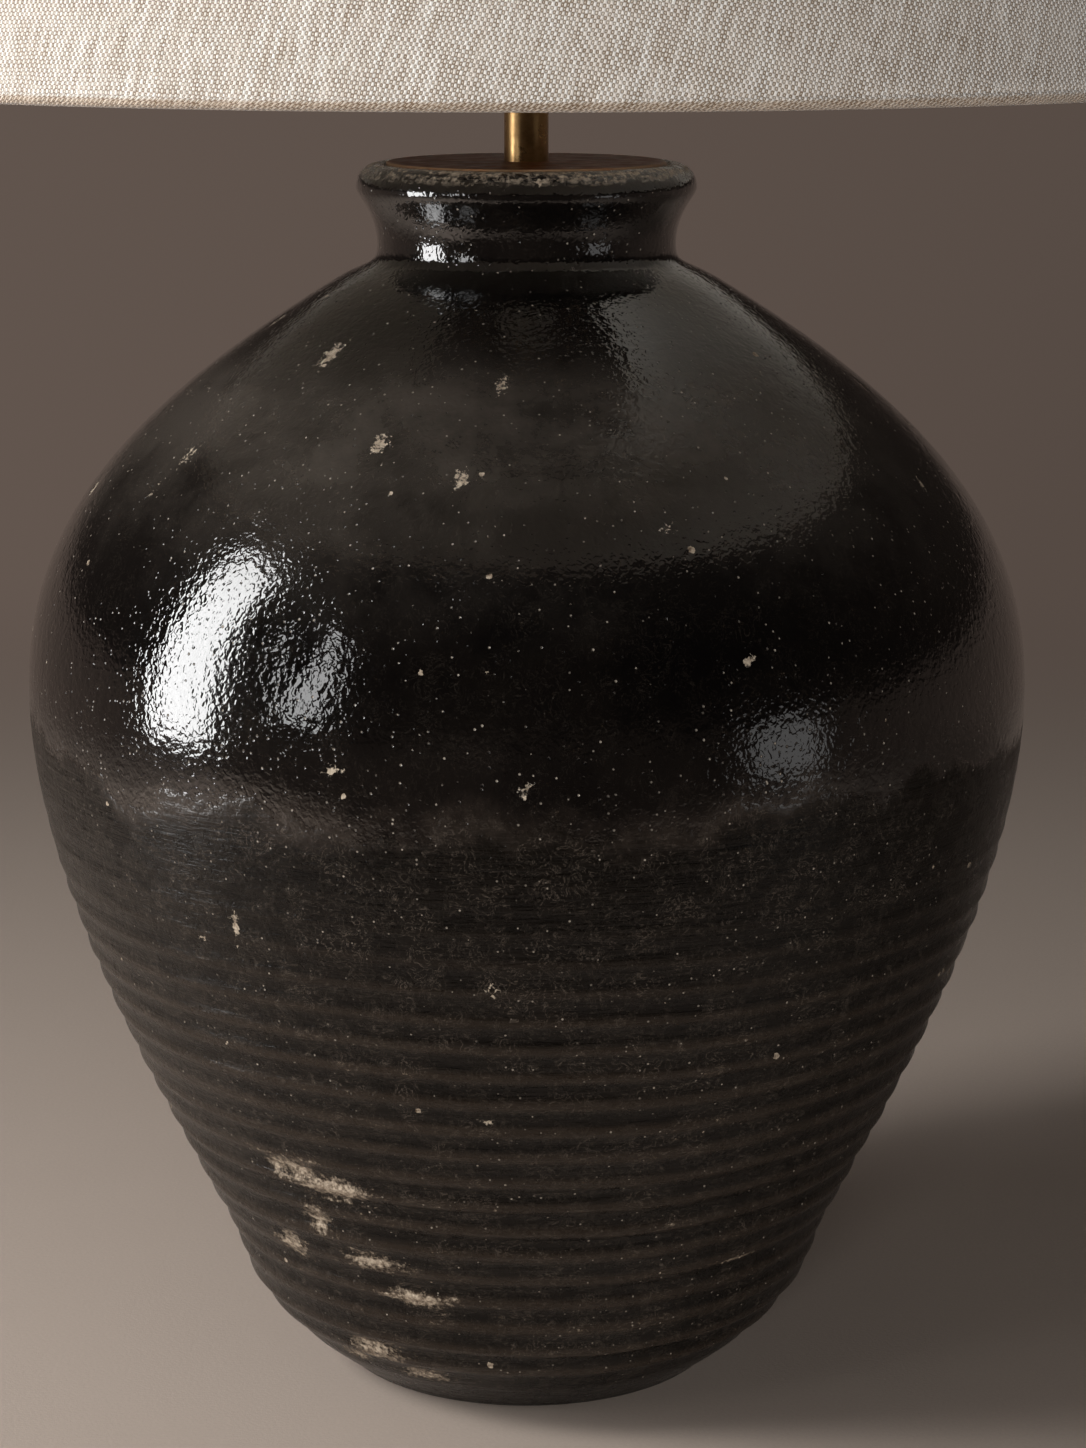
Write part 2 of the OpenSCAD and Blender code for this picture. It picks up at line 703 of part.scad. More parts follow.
// Fluted turn key on the front of the socket
module switch_key() {
    hole_h = key_h / 2 + fit_gap;
    color(black_colour) translate([0, -key_back, socket_z + shaft_z]) rotate([90, 0, 0])
        difference() {
            cylinder(h = key_h, d1 = key_d, d2 = 0.9 * key_d);
            translate([0, 0, -1]) cylinder(h = hole_h + 1, d = shaft_d + fit_gap, $fn = 48);
            for (i = [0:flute_count - 1]) rotate([0, 0, i * 360 / flute_count])
                translate([key_d / 2, 0, -1]) cylinder(h = key_h + 2, d = flute_d, $fn = 24);
        }
}

module bulb_tip() {
    color(steel_colour) translate([0, 0, bulb_z]) cylinder(h = tip_h, d1 = 0.7 * tip_d, d2 = tip_d);
}

module bulb_insulator() {
    color(black_colour) translate([0, 0, bulb_z + insulator_z])
        cylinder(h = insulator_h, d1 = tip_d + 2, d2 = 1.5 * base_r);
}

module bulb_base() {
    color(steel_colour) translate([0, 0, bulb_z + base_z]) difference() {
        union() {
            cylinder(h = 3, r1 = 0.8 * base_r, r2 = base_r);
            translate([0, 0, 3]) cylinder(h = base_h - 3, r = base_r);
        }
        translate([0, 0, 3]) cylinder(h = base_h, r = base_r - base_wall);
        translate([0, 0, base_wall]) cylinder(h = base_h, r = 0.7 * base_r);
    }
}

// Outline of the glass, drawn in by its wall for the inside
function glass_line(inset) = let (
    r = glass_r - inset,
    neck_r = glass_neck_r - inset,
    low = [neck_r, base_z + base_h],
    join = [0, glass_z] + r * turn(glass_join)
) concat(
    [[neck_r, low.y - glass_skirt]],
    [for (i = [0:7]) bezier(curve(low, join, 90, 90 + glass_join, [0.35, 0.4]), i / 8)],
    arc([0, glass_z], r, r, glass_join, 90, 16)
);

module bulb_glass() {
    inner = glass_line(glass_wall);
    color(glass_colour) translate([0, 0, bulb_z]) rotate_extrude()
        polygon(concat(glass_line(0), [for (i = [len(inner) - 1:-1:0]) inner[i]]));
}

// Band of the shade's cone between two distances along the slant and two distances outwards
module slant_band(along0, along1, out0, out1) {
    rotate_extrude($fn = 160) polygon([
        on_slant(along0, out0), on_slant(along0, out1), on_slant(along1, out1), on_slant(along1, out0)
    ]);
}

module ring_torus(centre, r) {
    translate([0, 0, centre.y]) rotate_extrude($fn = 160) translate([centre.x, 0]) circle(r = r, $fn = 32);
}

// Spider arm in its own plane: level from the hub, one bend, then up to the ring
arm_dir = turn(arm_slope);
arm_rise = spider_drop - arm_bend * (1 - cos(arm_slope));
arm_bend_x = top_ring.x - arm_rise / tan(arm_slope) - arm_bend * sin(arm_slope);
arm_start = spider_hub_d / 2 - arm_d;
arm_tip = [top_ring.x, spider_drop] - (ring_wire / 2) * arm_dir;

module round_arms() {
    translate([0, 0, arm_z]) for (i = [0:arm_count - 1]) rotate([0, 0, 90 + i * 360 / arm_count])
        children();
}

// Cut in the rolled edge where an arm passes to the ring
module arm_cut() {
    translate([arm_tip.x, 0, arm_tip.y]) rotate([0, 90 - arm_slope, 0])
        translate([0, 0, -2 * roll_r]) cylinder(h = 2 * roll_r, d = arm_d + 2 * fit_gap, $fn = 32);
}

// Section of the cover: one wall that wraps a wire at each end
module cover_section() {
    inner = ring_wire / 2 + fit_gap / 2;
    lean = atan2(slant_out.y, slant_out.x);
    edge = acos(inner / roll_r);
    difference() {
        polygon(concat(
            arc(low_ring, roll_r, roll_r, lean, lean + edge - 360, 20),
            arc(top_ring, roll_r, roll_r, lean - edge, lean - 360, 20)
        ));
        translate(low_ring) circle(r = inner, $fn = 32);
        translate(top_ring) circle(r = inner, $fn = 32);
    }
}

module shade_cover() {
    color(linen_colour) difference() {
        rotate_extrude($fn = 160) cover_section();
        round_arms() arm_cut();
    }
}

module shade_liner() {
    outer = ring_wire / 2;
    color(liner_colour) slant_band(liner_end, slant - liner_end, outer - backing_t, outer);
}

module shade_seam() {
    color(linen_colour) intersection() {
        slant_band(seam_end, slant - seam_end, roll_r, roll_r + seam_t);
        translate([-seam_w / 2, 0, 0]) cube([seam_w, shade_low_d, 2 * top_ring.y]);
    }
}

module shade_top_wire() {
    color(steel_colour) ring_torus(top_ring, ring_wire / 2);
}

module shade_bottom_wire() {
    color(steel_colour) ring_torus(low_ring, ring_wire / 2);
}

module shade_spider() {
    path = concat(
        [[arm_start, 0, 0]],
        bend([arm_bend_x, arm_bend], arm_bend, -90, arm_slope - 90, 5),
        [[arm_tip.x, arm_tip.y, arm_slope]]
    );
    color(brass_colour) {
        round_arms() bent_wire(path, arm_d);
        translate([0, 0, hub_low_z]) tube(spider_hub_t, spider_hub_d, finial_bore);
    }
}

module finial_base() {
    color(brass_colour) translate([0, 0, finial_z]) difference() {
        union() {
            cylinder(h = finial_step, d = finial_base_d);
            translate([0, 0, finial_step])
                cylinder(h = finial_base_h - finial_step, d1 = finial_base_d, d2 = finial_waist_d);
        }
        translate([0, 0, -1]) cylinder(h = finial_base_h + 2, d = finial_bore);
    }
}

module finial_knob() {
    low = finial_base_h + run_gap;
    color(brass_colour) translate([0, 0, finial_z]) difference() {
        union() {
            translate([0, 0, low]) cylinder(h = finial_waist_h + 1, d = finial_waist_d);
            translate([0, 0, ball_z]) sphere(d = finial_ball_d);
        }
        translate([0, 0, low - 1]) cylinder(h = stud_reach - low + 1 + run_gap, d = finial_bore);
    }
}

felt_pad();
jar();
floor_cushion();
floor_washer();
floor_nut();
threaded_tube();
cord_bush();
wood_cap();
brass_stem();
check_ring();
harp_saddle();
harp_bow();
harp_stud();
harp_sleeve_left();
harp_sleeve_right();
socket_cap();
socket_set_screw();
socket_shell();
socket_liner();
socket_body();
screw_shell();
centre_contact();
terminal_screw_left();
terminal_screw_right();
switch_shaft();
switch_key();
bulb_tip();
bulb_insulator();
bulb_base();
bulb_glass();
shade_cover();
shade_liner();
shade_seam();
shade_top_wire();
shade_bottom_wire();
shade_spider();
finial_base();
finial_knob();
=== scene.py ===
"""Looks of the jar table lamp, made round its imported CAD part. Metres, Z up, front towards -Y."""
import json
from functools import partial

import bmesh
import bpy
import numpy as np
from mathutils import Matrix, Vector


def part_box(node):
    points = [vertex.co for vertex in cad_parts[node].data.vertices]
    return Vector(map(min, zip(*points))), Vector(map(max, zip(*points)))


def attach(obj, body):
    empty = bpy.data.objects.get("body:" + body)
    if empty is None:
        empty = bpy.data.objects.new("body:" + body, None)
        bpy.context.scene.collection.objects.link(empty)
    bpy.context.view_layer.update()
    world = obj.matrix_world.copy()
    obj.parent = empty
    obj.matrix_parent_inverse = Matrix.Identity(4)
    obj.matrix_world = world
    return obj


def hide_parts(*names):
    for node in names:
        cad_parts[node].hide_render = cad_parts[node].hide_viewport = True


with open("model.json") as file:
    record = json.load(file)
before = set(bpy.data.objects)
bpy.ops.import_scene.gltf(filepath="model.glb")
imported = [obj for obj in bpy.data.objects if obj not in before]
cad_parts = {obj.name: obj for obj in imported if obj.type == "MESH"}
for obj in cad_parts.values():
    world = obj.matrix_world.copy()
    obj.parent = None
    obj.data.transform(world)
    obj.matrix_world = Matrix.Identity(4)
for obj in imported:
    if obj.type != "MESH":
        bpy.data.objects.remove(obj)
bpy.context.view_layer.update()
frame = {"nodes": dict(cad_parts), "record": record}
MM = 0.001
TURN = 2 * np.pi

# Jar outline, as in the part's source (mm)
JAR_Z = 1.5
FOOT_R, FOOT_RIM, RECESS_H, FLOOR_H = 72.5, 12, 12, 24
HEEL, BELLY, SHOULDER = (111.5, 46), (184, 259), (72, 407)
NECK, LIP = (54.25, 421), (61.75, 441.5)
FOOT_LEAN, HEEL_LEAN, SHOULDER_LEAN = 54, 77, 148.5
FOOT_PULL, WALL_PULL, SHOULDER_PULL = (0.09, 0.42), (0.09, 0.39), (0.3, 0.52)
NECK_PULL, LIP_PULL = (0.7, 0.35), (0.55, 0.14)
LIP_ROLL, CREST_R, MOUTH_R, NECK_BORE_R = 8.5, 53.5, 51, 45.25
SEAT_TOP, SEAT_LOW, TUBE_HOLE_R, JAR_WALL = 447.5, 433.5, 5.3, 9
RING_LOW, RING_PITCH, RING_COUNT, RING_DEPTH = 24, 11, 17, 1.3
BUSH_TILT, BUSH_SPOT_R, BUSH_HOLE_R, BUSH_SPOT_DEPTH = 13, 9, 5.2, 1.8

# Depth of the jar's chips and worn patches, height of its slow swells, and the most it stands proud (mm)
CHIP_DEPTH, WORN_DEPTH, SWELL, PROUD_MOST = 0.35, 0.3, 0.45, 0.7

# Harp, spider and shade, as in the part's source (mm)
HARP_Z, HARP_FOOT_X, HARP_LOW, HARP_LEG_TOP = 489.1, 30, 20, 54
HARP_KNEE_R, HARP_SIDE_R, HARP_HALF_W, HARP_CROWN_R = 30, 150, 57.5, 28
HARP_H, HARP_BOSS_H, HARP_BOSS_R, HARP_WIRE_R = 285, 6, 5, 2
HUB_Z, HUB_T, HUB_R, HUB_BORE_R = 776.0, 1.6, 13, 3.475
ARM_Z, ARM_R, ARM_BEND, ARM_SLOPE, ARM_DROP = 775.9, 1.6, 12, 60, 25
RING_WIRE_R, ROLL_R, LINEN_T = 1.5, 2.6, 1
LOW_RING, TOP_RING = np.array((257.4, 483.9)), np.array((168.4, 800.9))
SEAM_W, SEAM_T, SEAM_END = 12, 0.6, 8
LINEN_PROUD, CREASE_DEPTH, HEM_FADE = 0.4, 0.45, 12


def colour(code):
    """Linear RGBA of an sRGB hex value."""
    srgb = np.array([int(code[i:i + 2], 16) / 255 for i in (1, 3, 5)])
    linear = np.where(srgb <= 0.04045, srgb / 12.92, ((srgb + 0.055) / 1.055) ** 2.4)
    return (*linear, 1)


def feed(node, inputs):
    """Fills a node's inputs, each from a number or vector, the hex value of a colour, a socket, or a node,
    which gives its first output that is in use."""
    for key, value in inputs.items():
        if isinstance(value, bpy.types.Node):
            value = next(output for output in value.outputs if output.enabled)
        if isinstance(value, bpy.types.NodeSocket):
            node.id_data.links.new(value, node.inputs[key])
        else:
            node.inputs[key].default_value = colour(value) if isinstance(value, str) else value


def add_node(tree, kind, inputs=None, **settings):
    """A node with its settings and inputs."""
    node = tree.nodes.new("ShaderNode" + kind)
    for key, value in settings.items():
        setattr(node, key, value)
    feed(node, inputs or {})
    return node


def material(name, space="Object"):
    """A material, the function that adds to its nodes, its shader, and the place on the piece."""
    made = bpy.data.materials.new(name)
    made.use_nodes = True
    add = partial(add_node, made.node_tree)
    return made, add, made.node_tree.nodes["Principled BSDF"], add("TexCoord").outputs[space]


def surface(name, points, closed=(True, True), uv=None, poles=False):
    """A mesh over a grid of points in mm. Each quad joins four neighbours of the grid, a closed
    direction joins its last line to its first, and the quads are turned to enclose a positive
    volume, so that they point outwards. Poles are rows drawn to one point, which are merged."""
    rows, columns = points.shape[:2]
    steps = [np.arange(count - (not shut)) for count, shut in zip((rows, columns), closed)]
    r, c = np.meshgrid(*steps, indexing="ij")
    corner_r = np.stack([r, r, r + 1, r + 1], -1).reshape(-1, 4)
    corner_c = np.stack([c, c + 1, c + 1, c], -1).reshape(-1, 4)
    quads = (corner_r % rows) * columns + corner_c % columns
    flat = points.reshape(-1, 3) * MM
    a, b, d, e = (flat[quads[:, i]] for i in range(4))
    if np.sum(np.cross(b, d) * a) + np.sum(np.cross(d, e) * a) < 0:
        quads, corner_r, corner_c = quads[:, ::-1], corner_r[:, ::-1], corner_c[:, ::-1]
    mesh = bpy.data.meshes.new(name)
    mesh.from_pydata(flat, [], quads)
    mesh.polygons.foreach_set("use_smooth", np.ones(len(quads), bool))
    if uv is not None:
        layer = mesh.uv_layers.new(name="Flat")
        layer.data.foreach_set("uv", uv[corner_r, corner_c].reshape(-1).astype(np.float32))
    if poles:
        work = bmesh.new()
        work.from_mesh(mesh)
        bmesh.ops.remove_doubles(work, verts=work.verts, dist=1e-6)
        work.to_mesh(mesh)
        work.free()
    made = bpy.data.objects.new(name, mesh)
    bpy.context.scene.collection.objects.link(made)
    return made


def keep_value(piece, name, values):
    """Stores one number for each vertex, for the piece's material to read."""
    layer = piece.data.attributes.new(name, "FLOAT", "POINT")
    layer.data.foreach_set("value", values.reshape(-1).astype(np.float32))


def full_turn(columns):
    """Equal angles over one turn."""
    return np.linspace(0, TURN, columns, endpoint=False)


def turned(r, z, angle):
    """Grid of a profile turned about the Z axis, one column for each angle from the front."""
    level = np.outer(z, np.ones(angle.size))
    return np.stack([np.outer(r, np.sin(angle)), np.outer(r, -np.cos(angle)), level], -1)


def arc(centre, radius, start, end, steps):
    """Points of an arc between two angles in degrees."""
    a = np.radians(np.linspace(start, end, steps))
    return np.array(centre) + radius * np.stack([np.cos(a), np.sin(a)], -1)


def wire(path, radius):
    """Grid of a round wire along a path of X and Z: a circle of 20 points square to the path at each
    point, closed by a pole at both ends."""
    along = np.gradient(path, axis=0)
    along /= np.linalg.norm(along, axis=1)[:, None]
    path = np.concatenate([path[:1], path, path[-1:]])
    along = np.concatenate([along[:1], along, along[-1:]])
    reach = np.full(len(path), radius)
    reach[[0, -1]] = 0
    a = full_turn(20)
    side = np.outer(reach, np.cos(a))
    x = path[:, :1] - side * along[:, 1:]
    z = path[:, 1:] + side * along[:, :1]
    return np.stack([x, np.outer(reach, np.sin(a)), z], -1)


def smooth(low, high, value):
    """Smooth step from 0 at low to 1 at high."""
    t = np.clip((value - low) / (high - low), 0, 1)
    return t * t * (3 - 2 * t)


# Jar

def bezier(start, end, lean_start, lean_end, pull, steps):
    """Cubic curve that leaves start at one angle and reaches end at another, with handles that are
    shares of the chord."""
    start, end = np.array(start, float), np.array(end, float)
    chord = np.linalg.norm(end - start)
    lean = np.radians([lean_start, lean_end])
    first = start + pull[0] * chord * np.array([np.cos(lean[0]), np.sin(lean[0])])
    second = end - pull[1] * chord * np.array([np.cos(lean[1]), np.sin(lean[1])])
    t = np.linspace(0, 1, steps)[:, None]
    u = 1 - t
    return u ** 3 * start + 3 * u * u * t * first + 3 * u * t * t * second + t ** 3 * end


def evenly(points, step):
    """Points of a line at equal steps along its length."""
    length = np.concatenate([[0], np.cumsum(np.linalg.norm(np.diff(points, axis=0), axis=1))])
    at = np.linspace(0, length[-1], max(2, int(length[-1] / step)))
    return np.stack([np.interp(at, length, points[:, i]) for i in (0, 1)], -1)


def jar_section():
    """The jar's closed section as radius and height: out along the foot, up the outside, over the lip,
    down the inside and back through the tube hole and the recess. Its steps are 1.15 mm over the
    rings, 1.5 to 1.8 mm at the foot, neck and lip, and 3 mm or more where it is plain."""
    fine = 400
    foot = evenly(bezier((FOOT_R, 0), HEEL, FOOT_LEAN, HEEL_LEAN, FOOT_PULL, fine), 1.5)
    wall = bezier(HEEL, BELLY, HEEL_LEAN, 90, WALL_PULL, fine)
    ringed = wall[:, 1] < RING_LOW + RING_COUNT * RING_PITCH + 6
    low_wall, high_wall = evenly(wall[ringed], 1.15), evenly(wall[~ringed], 3)
    shoulder = evenly(bezier(BELLY, SHOULDER, 90, SHOULDER_LEAN, SHOULDER_PULL, fine), 3.4)
    neck = evenly(bezier(SHOULDER, NECK, SHOULDER_LEAN, 90, NECK_PULL, fine), 1.6)
    lip = evenly(bezier(NECK, LIP, 90, 90, LIP_PULL, fine), 1.8)
    turn = np.radians(np.linspace(0, 90, 12))
    roll = np.stack([CREST_R + (LIP[0] - CREST_R) * np.cos(turn), LIP[1] + LIP_ROLL * np.sin(turn)], -1)
    mouth = arc((CREST_R, SEAT_TOP), CREST_R - MOUTH_R, 100, 180, 5)
    wall_all = np.concatenate([foot, wall, shoulder])
    lean = np.gradient(wall_all, axis=0)
    lean /= np.linalg.norm(lean, axis=1)[:, None] + 1e-9
    inner = (wall_all + JAR_WALL * np.stack([-lean[:, 1], lean[:, 0]], -1))[::-1]
    keep = (inner[:, 1] > FLOOR_H + 2) & (inner[:, 0] > NECK_BORE_R + 1) & (inner[:, 1] < SHOULDER[1] - 2)
    inner = evenly(inner[keep], 14)
    edge = 0.3
    rest = [
        (NECK_BORE_R, SEAT_LOW + edge), (NECK_BORE_R, SEAT_LOW - edge), (NECK_BORE_R, inner[0, 1] + 4),
        *inner, (inner[-1, 0] - 3, FLOOR_H), (TUBE_HOLE_R + edge, FLOOR_H), (TUBE_HOLE_R, FLOOR_H - edge),
        (TUBE_HOLE_R, RECESS_H + edge), (TUBE_HOLE_R + edge, RECESS_H), (FOOT_R - FOOT_RIM - 1, RECESS_H),
        (FOOT_R - FOOT_RIM, edge), (FOOT_R - FOOT_RIM + edge, 0), (FOOT_R - edge, 0)]
    return np.concatenate([
        foot, low_wall[1:], high_wall, shoulder[1:], neck[1:], lip[1:], roll[1:], mouth, np.array(rest)])


def waves(angle, z, terms, seed):
    """Sum of slow waves round the jar, with amplitude 1 in all: sines of whole numbers of turns whose
    phase drifts with height."""
    rng = np.random.default_rng(seed)
    total = np.zeros(np.broadcast(angle, z).shape)
    for turns in range(1, terms + 1):
        total += np.sin(turns * angle + rng.uniform(0, TURN) + z * rng.uniform(-0.02, 0.02)) / turns
    return total / sum(1 / n for n in range(1, terms + 1))


# Marks on the jar: degrees from the front towards the right, height in mm, width and height in mm
CHIPS = [
    (-22, 365, 7, 7), (-8.8, 356, 7, 6), (-42.7, 389, 8, 9), (-4.5, 383, 5, 6), (17.3, 341, 5, 5),
    (-0.2, 262, 5.5, 5), (-19.9, 266, 6.5, 5), (-33.5, 207, 3, 12), (-38.7, 199, 3.5, 4),
    (-4.1, 191, 5, 8), (-40, 158, 3, 4), (-5.3, 139, 4, 3), (-55.7, 355, 4, 9), (-58, 343, 3.5, 5),
    (4.4, 447, 4.5, 3), (5.5, 335, 2.5, 2.5), (-4.3, 339, 2.5, 3), (-48.3, 261, 3.5, 3.5),
    (5.4, 138, 2.5, 2.5), (24, 300, 2.5, 2.5)]
WORN = [
    (-37, 108, 26, 12), (-30, 102, 30, 12), (-35, 87, 14, 14), (-33, 28, 26, 12), (-42, 20, 16, 9),
    (-24, 18, 24, 7), (-44, 70, 20, 14), (-26, 72, 26, 9), (38.9, 66, 18, 2.5), (-20, 57, 30, 8),
    (140, 92, 24, 9), (205, 40, 18, 8), (250, 60, 30, 7), (95, 30, 14, 6)]
# Dents: degrees, height, radius and depth in mm
DENTS = [
    (-26, 305, 11, 0.9), (-21, 316, 8, -0.5), (-8, 292, 26, 0.5), (66, 232, 30, 0.6), (150, 300, 18, 0.6)]


def marks(angle, z, radius, places):
    """Highest of round hills, 1 at each mark's middle and about 0.4 at its edge."""
    field = np.zeros(np.broadcast(angle, z).shape)
    for degrees, height, width, tall in places:
        across = (np.mod(angle - np.radians(degrees) + np.pi, TURN) - np.pi) * radius
        field = np.maximum(field, np.exp(-(2 * across / width) ** 2 - (2 * (z - height) / tall) ** 2))
    return field


def scattered_chips(count, seed):
    """Small chips over the sides and back, 2 to 6 mm wide."""
    rng = np.random.default_rng(seed)
    size = rng.uniform(2, 6, count)
    degrees, height = rng.uniform(62, 298, count), rng.uniform(70, 400, count)
    return list(zip(degrees, height, size, size * rng.uniform(0.7, 1.4, count)))


def make_jar():
    """The section turned with irregular throwing rings. A ring is a wave, depth times a power of the
    sine of its phase, with a ridge at each whole phase. The phase wanders round the jar and each ring
    has its own depth. Fine throwing lines, slow swells, dents and chips move the wall as well."""
    section = jar_section()
    r, z = section[:, :1], section[:, 1:]
    angle = full_turn(300)[None, :]
    along = np.gradient(section, axis=0)
    along /= np.linalg.norm(along, axis=1)[:, None] + 1e-9
    out_r, out_z = along[:, 1:], -along[:, :1]
    outside = np.zeros(len(section))
    outside[:np.argmax(section[:, 1] > SEAT_TOP + 1.5)] = 1
    outside = outside[:, None]

    rng = np.random.default_rng(7)
    ring_depths = rng.uniform(0.55, 1.5, RING_COUNT + 12)
    top = RING_LOW + RING_COUNT * RING_PITCH
    phase = (z - RING_LOW) / RING_PITCH + 0.13 * waves(angle, z, 4, 3) + 0.05 * waves(5 * angle, z, 3, 4)
    ring = np.clip(np.floor(phase).astype(int) + 2, 0, len(ring_depths) - 1)
    middle = RING_LOW + 0.55 * (top - RING_LOW)
    fade = smooth(RING_LOW - 14, RING_LOW, z) * (1 - smooth(middle, top + 30, z))
    swell = 1 + 0.35 * waves(angle + ring, z, 3, 5)
    groove = np.abs(np.sin(np.pi * phase)) ** 1.5
    depth = RING_DEPTH * fade * ring_depths[ring] * swell
    ridge = (1 - groove) ** 2 * fade * outside

    # Throwing lines 0.1 mm high every 3.3 mm and 0.08 mm high every 7.6 mm
    patchy = 0.4 + 0.6 * np.abs(waves(angle, z, 2, 9))
    lines = 0.1 * np.sin(z * 1.9 + 2 * waves(angle, z, 3, 8)) * patchy
    lines += 0.08 * np.sin(z * 0.83 + 3 * waves(angle, z, 2, 10))
    body = smooth(6, 30, z) * (1 - smooth(400, 425, z))
    move = -depth * groove + lines * (0.35 + fade) * body + SWELL * waves(angle, z, 4, 11) * body
    for degrees, height, radius, deep in DENTS:
        move -= deep * marks(angle, z, r, [(degrees, height, 2 * radius, 2 * radius)])
    chip = marks(angle, z, r, CHIPS + scattered_chips(34, 21))
    worn = marks(angle, z, r, WORN)
    move -= CHIP_DEPTH * chip + WORN_DEPTH * smooth(0.3, 0.8, worn)
    move = np.minimum(move, PROUD_MOST) * outside

    grid = turned(section[:, 0], section[:, 1] + JAR_Z, angle)
    spread = np.stack([np.sin(angle), -np.cos(angle)], -1)
    grid[..., :2] += (move * out_r)[..., None] * spread
    grid[..., 2] += move * out_z
    jar = surface("jar_body", grid)
    keep_value(jar, "ridge", ridge)
    keep_value(jar, "chip", chip * outside)
    keep_value(jar, "worn", worn * outside)
    return cut_bush_hole(jar)


def cut_bush_hole(jar):
    """Cuts the cord bush's hole and the flat ground round it out of the back of the jar."""
    tilt = np.radians(BUSH_TILT)
    axis = Vector((0, np.cos(tilt), -np.sin(tilt)))
    base = Vector((0, HEEL[0], JAR_Z + HEEL[1]))
    for low, high, radius in ((-BUSH_SPOT_DEPTH, 16, BUSH_SPOT_R), (-22, 16, BUSH_HOLE_R)):
        work = bmesh.new()
        bmesh.ops.create_cone(
            work, cap_ends=True, segments=48, depth=(high - low) * MM,
            radius1=radius * MM, radius2=radius * MM)
        mesh = bpy.data.meshes.new("bush_cutter")
        work.to_mesh(mesh)
        work.free()
        cutter = bpy.data.objects.new("bush_cutter", mesh)
        bpy.context.scene.collection.objects.link(cutter)
        cutter.matrix_world = axis.to_track_quat("Z", "Y").to_matrix().to_4x4()
        cutter.location = (base + axis * (low + high) / 2) * MM
        cut = jar.modifiers.new("bush", "BOOLEAN")
        cut.object, cut.operation, cut.solver = cutter, "DIFFERENCE", "EXACT"
        with bpy.context.temp_override(object=jar, active_object=jar):
            bpy.ops.object.modifier_apply(modifier=cut.name)
        bpy.data.objects.remove(cutter)
    return jar


def turning_streak(add, place):
    """A noise drawn out along the turning, 22 mm long and 2.4 mm high. It reads the way round in metres
    at 180 mm from the axis, the height, and the reach from the axis."""
    apart = add("SeparateXYZ", {0: place})
    ahead = add("Math", {0: apart.outputs["Y"], 1: -1.0}, operation="MULTIPLY")
    angle = add("Math", {0: apart.outputs["X"], 1: ahead}, operation="ARCTAN2")
    around = add("Math", {0: angle, 1: 0.18}, operation="MULTIPLY")
    level = add("CombineXYZ", {0: apart.outputs["X"], 1: apart.outputs["Y"]})
    reach = add("VectorMath", {0: level}, operation="LENGTH")
    turning = add("CombineXYZ", {0: around, 1: apart.outputs["Z"], 2: reach})
    drawn = add("Mapping", {"Vector": turning, "Scale": (45, 420, 300)})
    return add("TexNoise", {"Vector": drawn, "Scale": 1, "Detail": 5, "Roughness": 0.62})


def band(add, value, rise, fall):
    """A band over a value: it rises between one pair of limits and falls between the next."""
    low = add("MapRange", {0: value, 1: rise[0], 2: rise[1]}, interpolation_type="SMOOTHSTEP")
    high = add("MapRange", {0: value, 1: fall[0], 2: fall[1], 3: 1.0, 4: 0.0},
               interpolation_type="SMOOTHSTEP")
    return add("Math", {0: low, 1: high}, operation="MULTIPLY")


def glaze_edge(add, place, height, cloud, dirt):
    """Where the thick glaze ends, wandering about 12 mm up and down near the belly: the share of thick
    glaze, and a patchy, hazy fringe about 12 mm wide along its edge."""
    drift = add("TexNoise", {"Vector": place, "Scale": 20, "Detail": 6, "Roughness": 0.62})
    edge = add("Math", {0: drift, 1: 0.06, 2: height}, operation="MULTIPLY_ADD")
    thick = add("MapRange", {0: edge, 1: 0.278, 2: 0.285}, interpolation_type="SMOOTHSTEP")
    fringe = band(add, edge, (0.270, 0.281), (0.281, 0.294))
    hazy = add("Math", {0: fringe, 1: dirt}, operation="MULTIPLY")
    patchy = add("MapRange", {0: cloud, 1: 0.46, 2: 0.62, 3: 0.1, 4: 1.1})
    return thick, add("Math", {0: hazy, 1: patchy}, operation="MULTIPLY")


def glaze_colour(add, ridge, streak, cloud, dirt, thick):
    """Clouded black where the glaze is thick, streaked brown-black where it is thin. The rings' ridges are
    paler than their grooves: partly because the grooves hold more of the dark glaze, partly as painted
    highlight on the ridges and painted shade in the grooves."""
    cloudy = add("MapRange", {0: cloud, 1: 0.44, 2: 0.66})
    streaky = add("Mix", {0: 0.55, 2: dirt, 3: streak})
    dirty = add("MapRange", {0: streaky, 1: 0.4, 2: 0.66})
    # Ridges paler than grooves: partly dark glaze pooled in the grooves, partly painted highlight and
    # painted shade
    ridge_glaze_and_painted_light = add("MapRange", {0: ridge, 1: 0.05, 2: 0.6, 3: 0.0, 4: 0.75})
    black = add("Mix", {0: cloudy, 6: "#050404", 7: "#0f0c0a"}, data_type="RGBA")
    satin = add("Mix", {0: dirty, 6: "#050403", 7: "#130f0b"}, data_type="RGBA")
    satin = add("Mix", {0: ridge_glaze_and_painted_light, 6: satin, 7: "#2a221b"}, data_type="RGBA")
    return add("Mix", {0: thick, 6: satin, 7: black}, data_type="RGBA")


def dust_film(add, height, cloud):
    """A film of old dust on the shoulder, in clouds."""
    film = band(add, height, (0.30, 0.39), (0.375, 0.402))
    clouded = add("MapRange", {0: cloud, 1: 0.4, 2: 0.6, 3: 0.2, 4: 0.9})
    return add("Math", {0: film, 1: clouded}, operation="MULTIPLY")


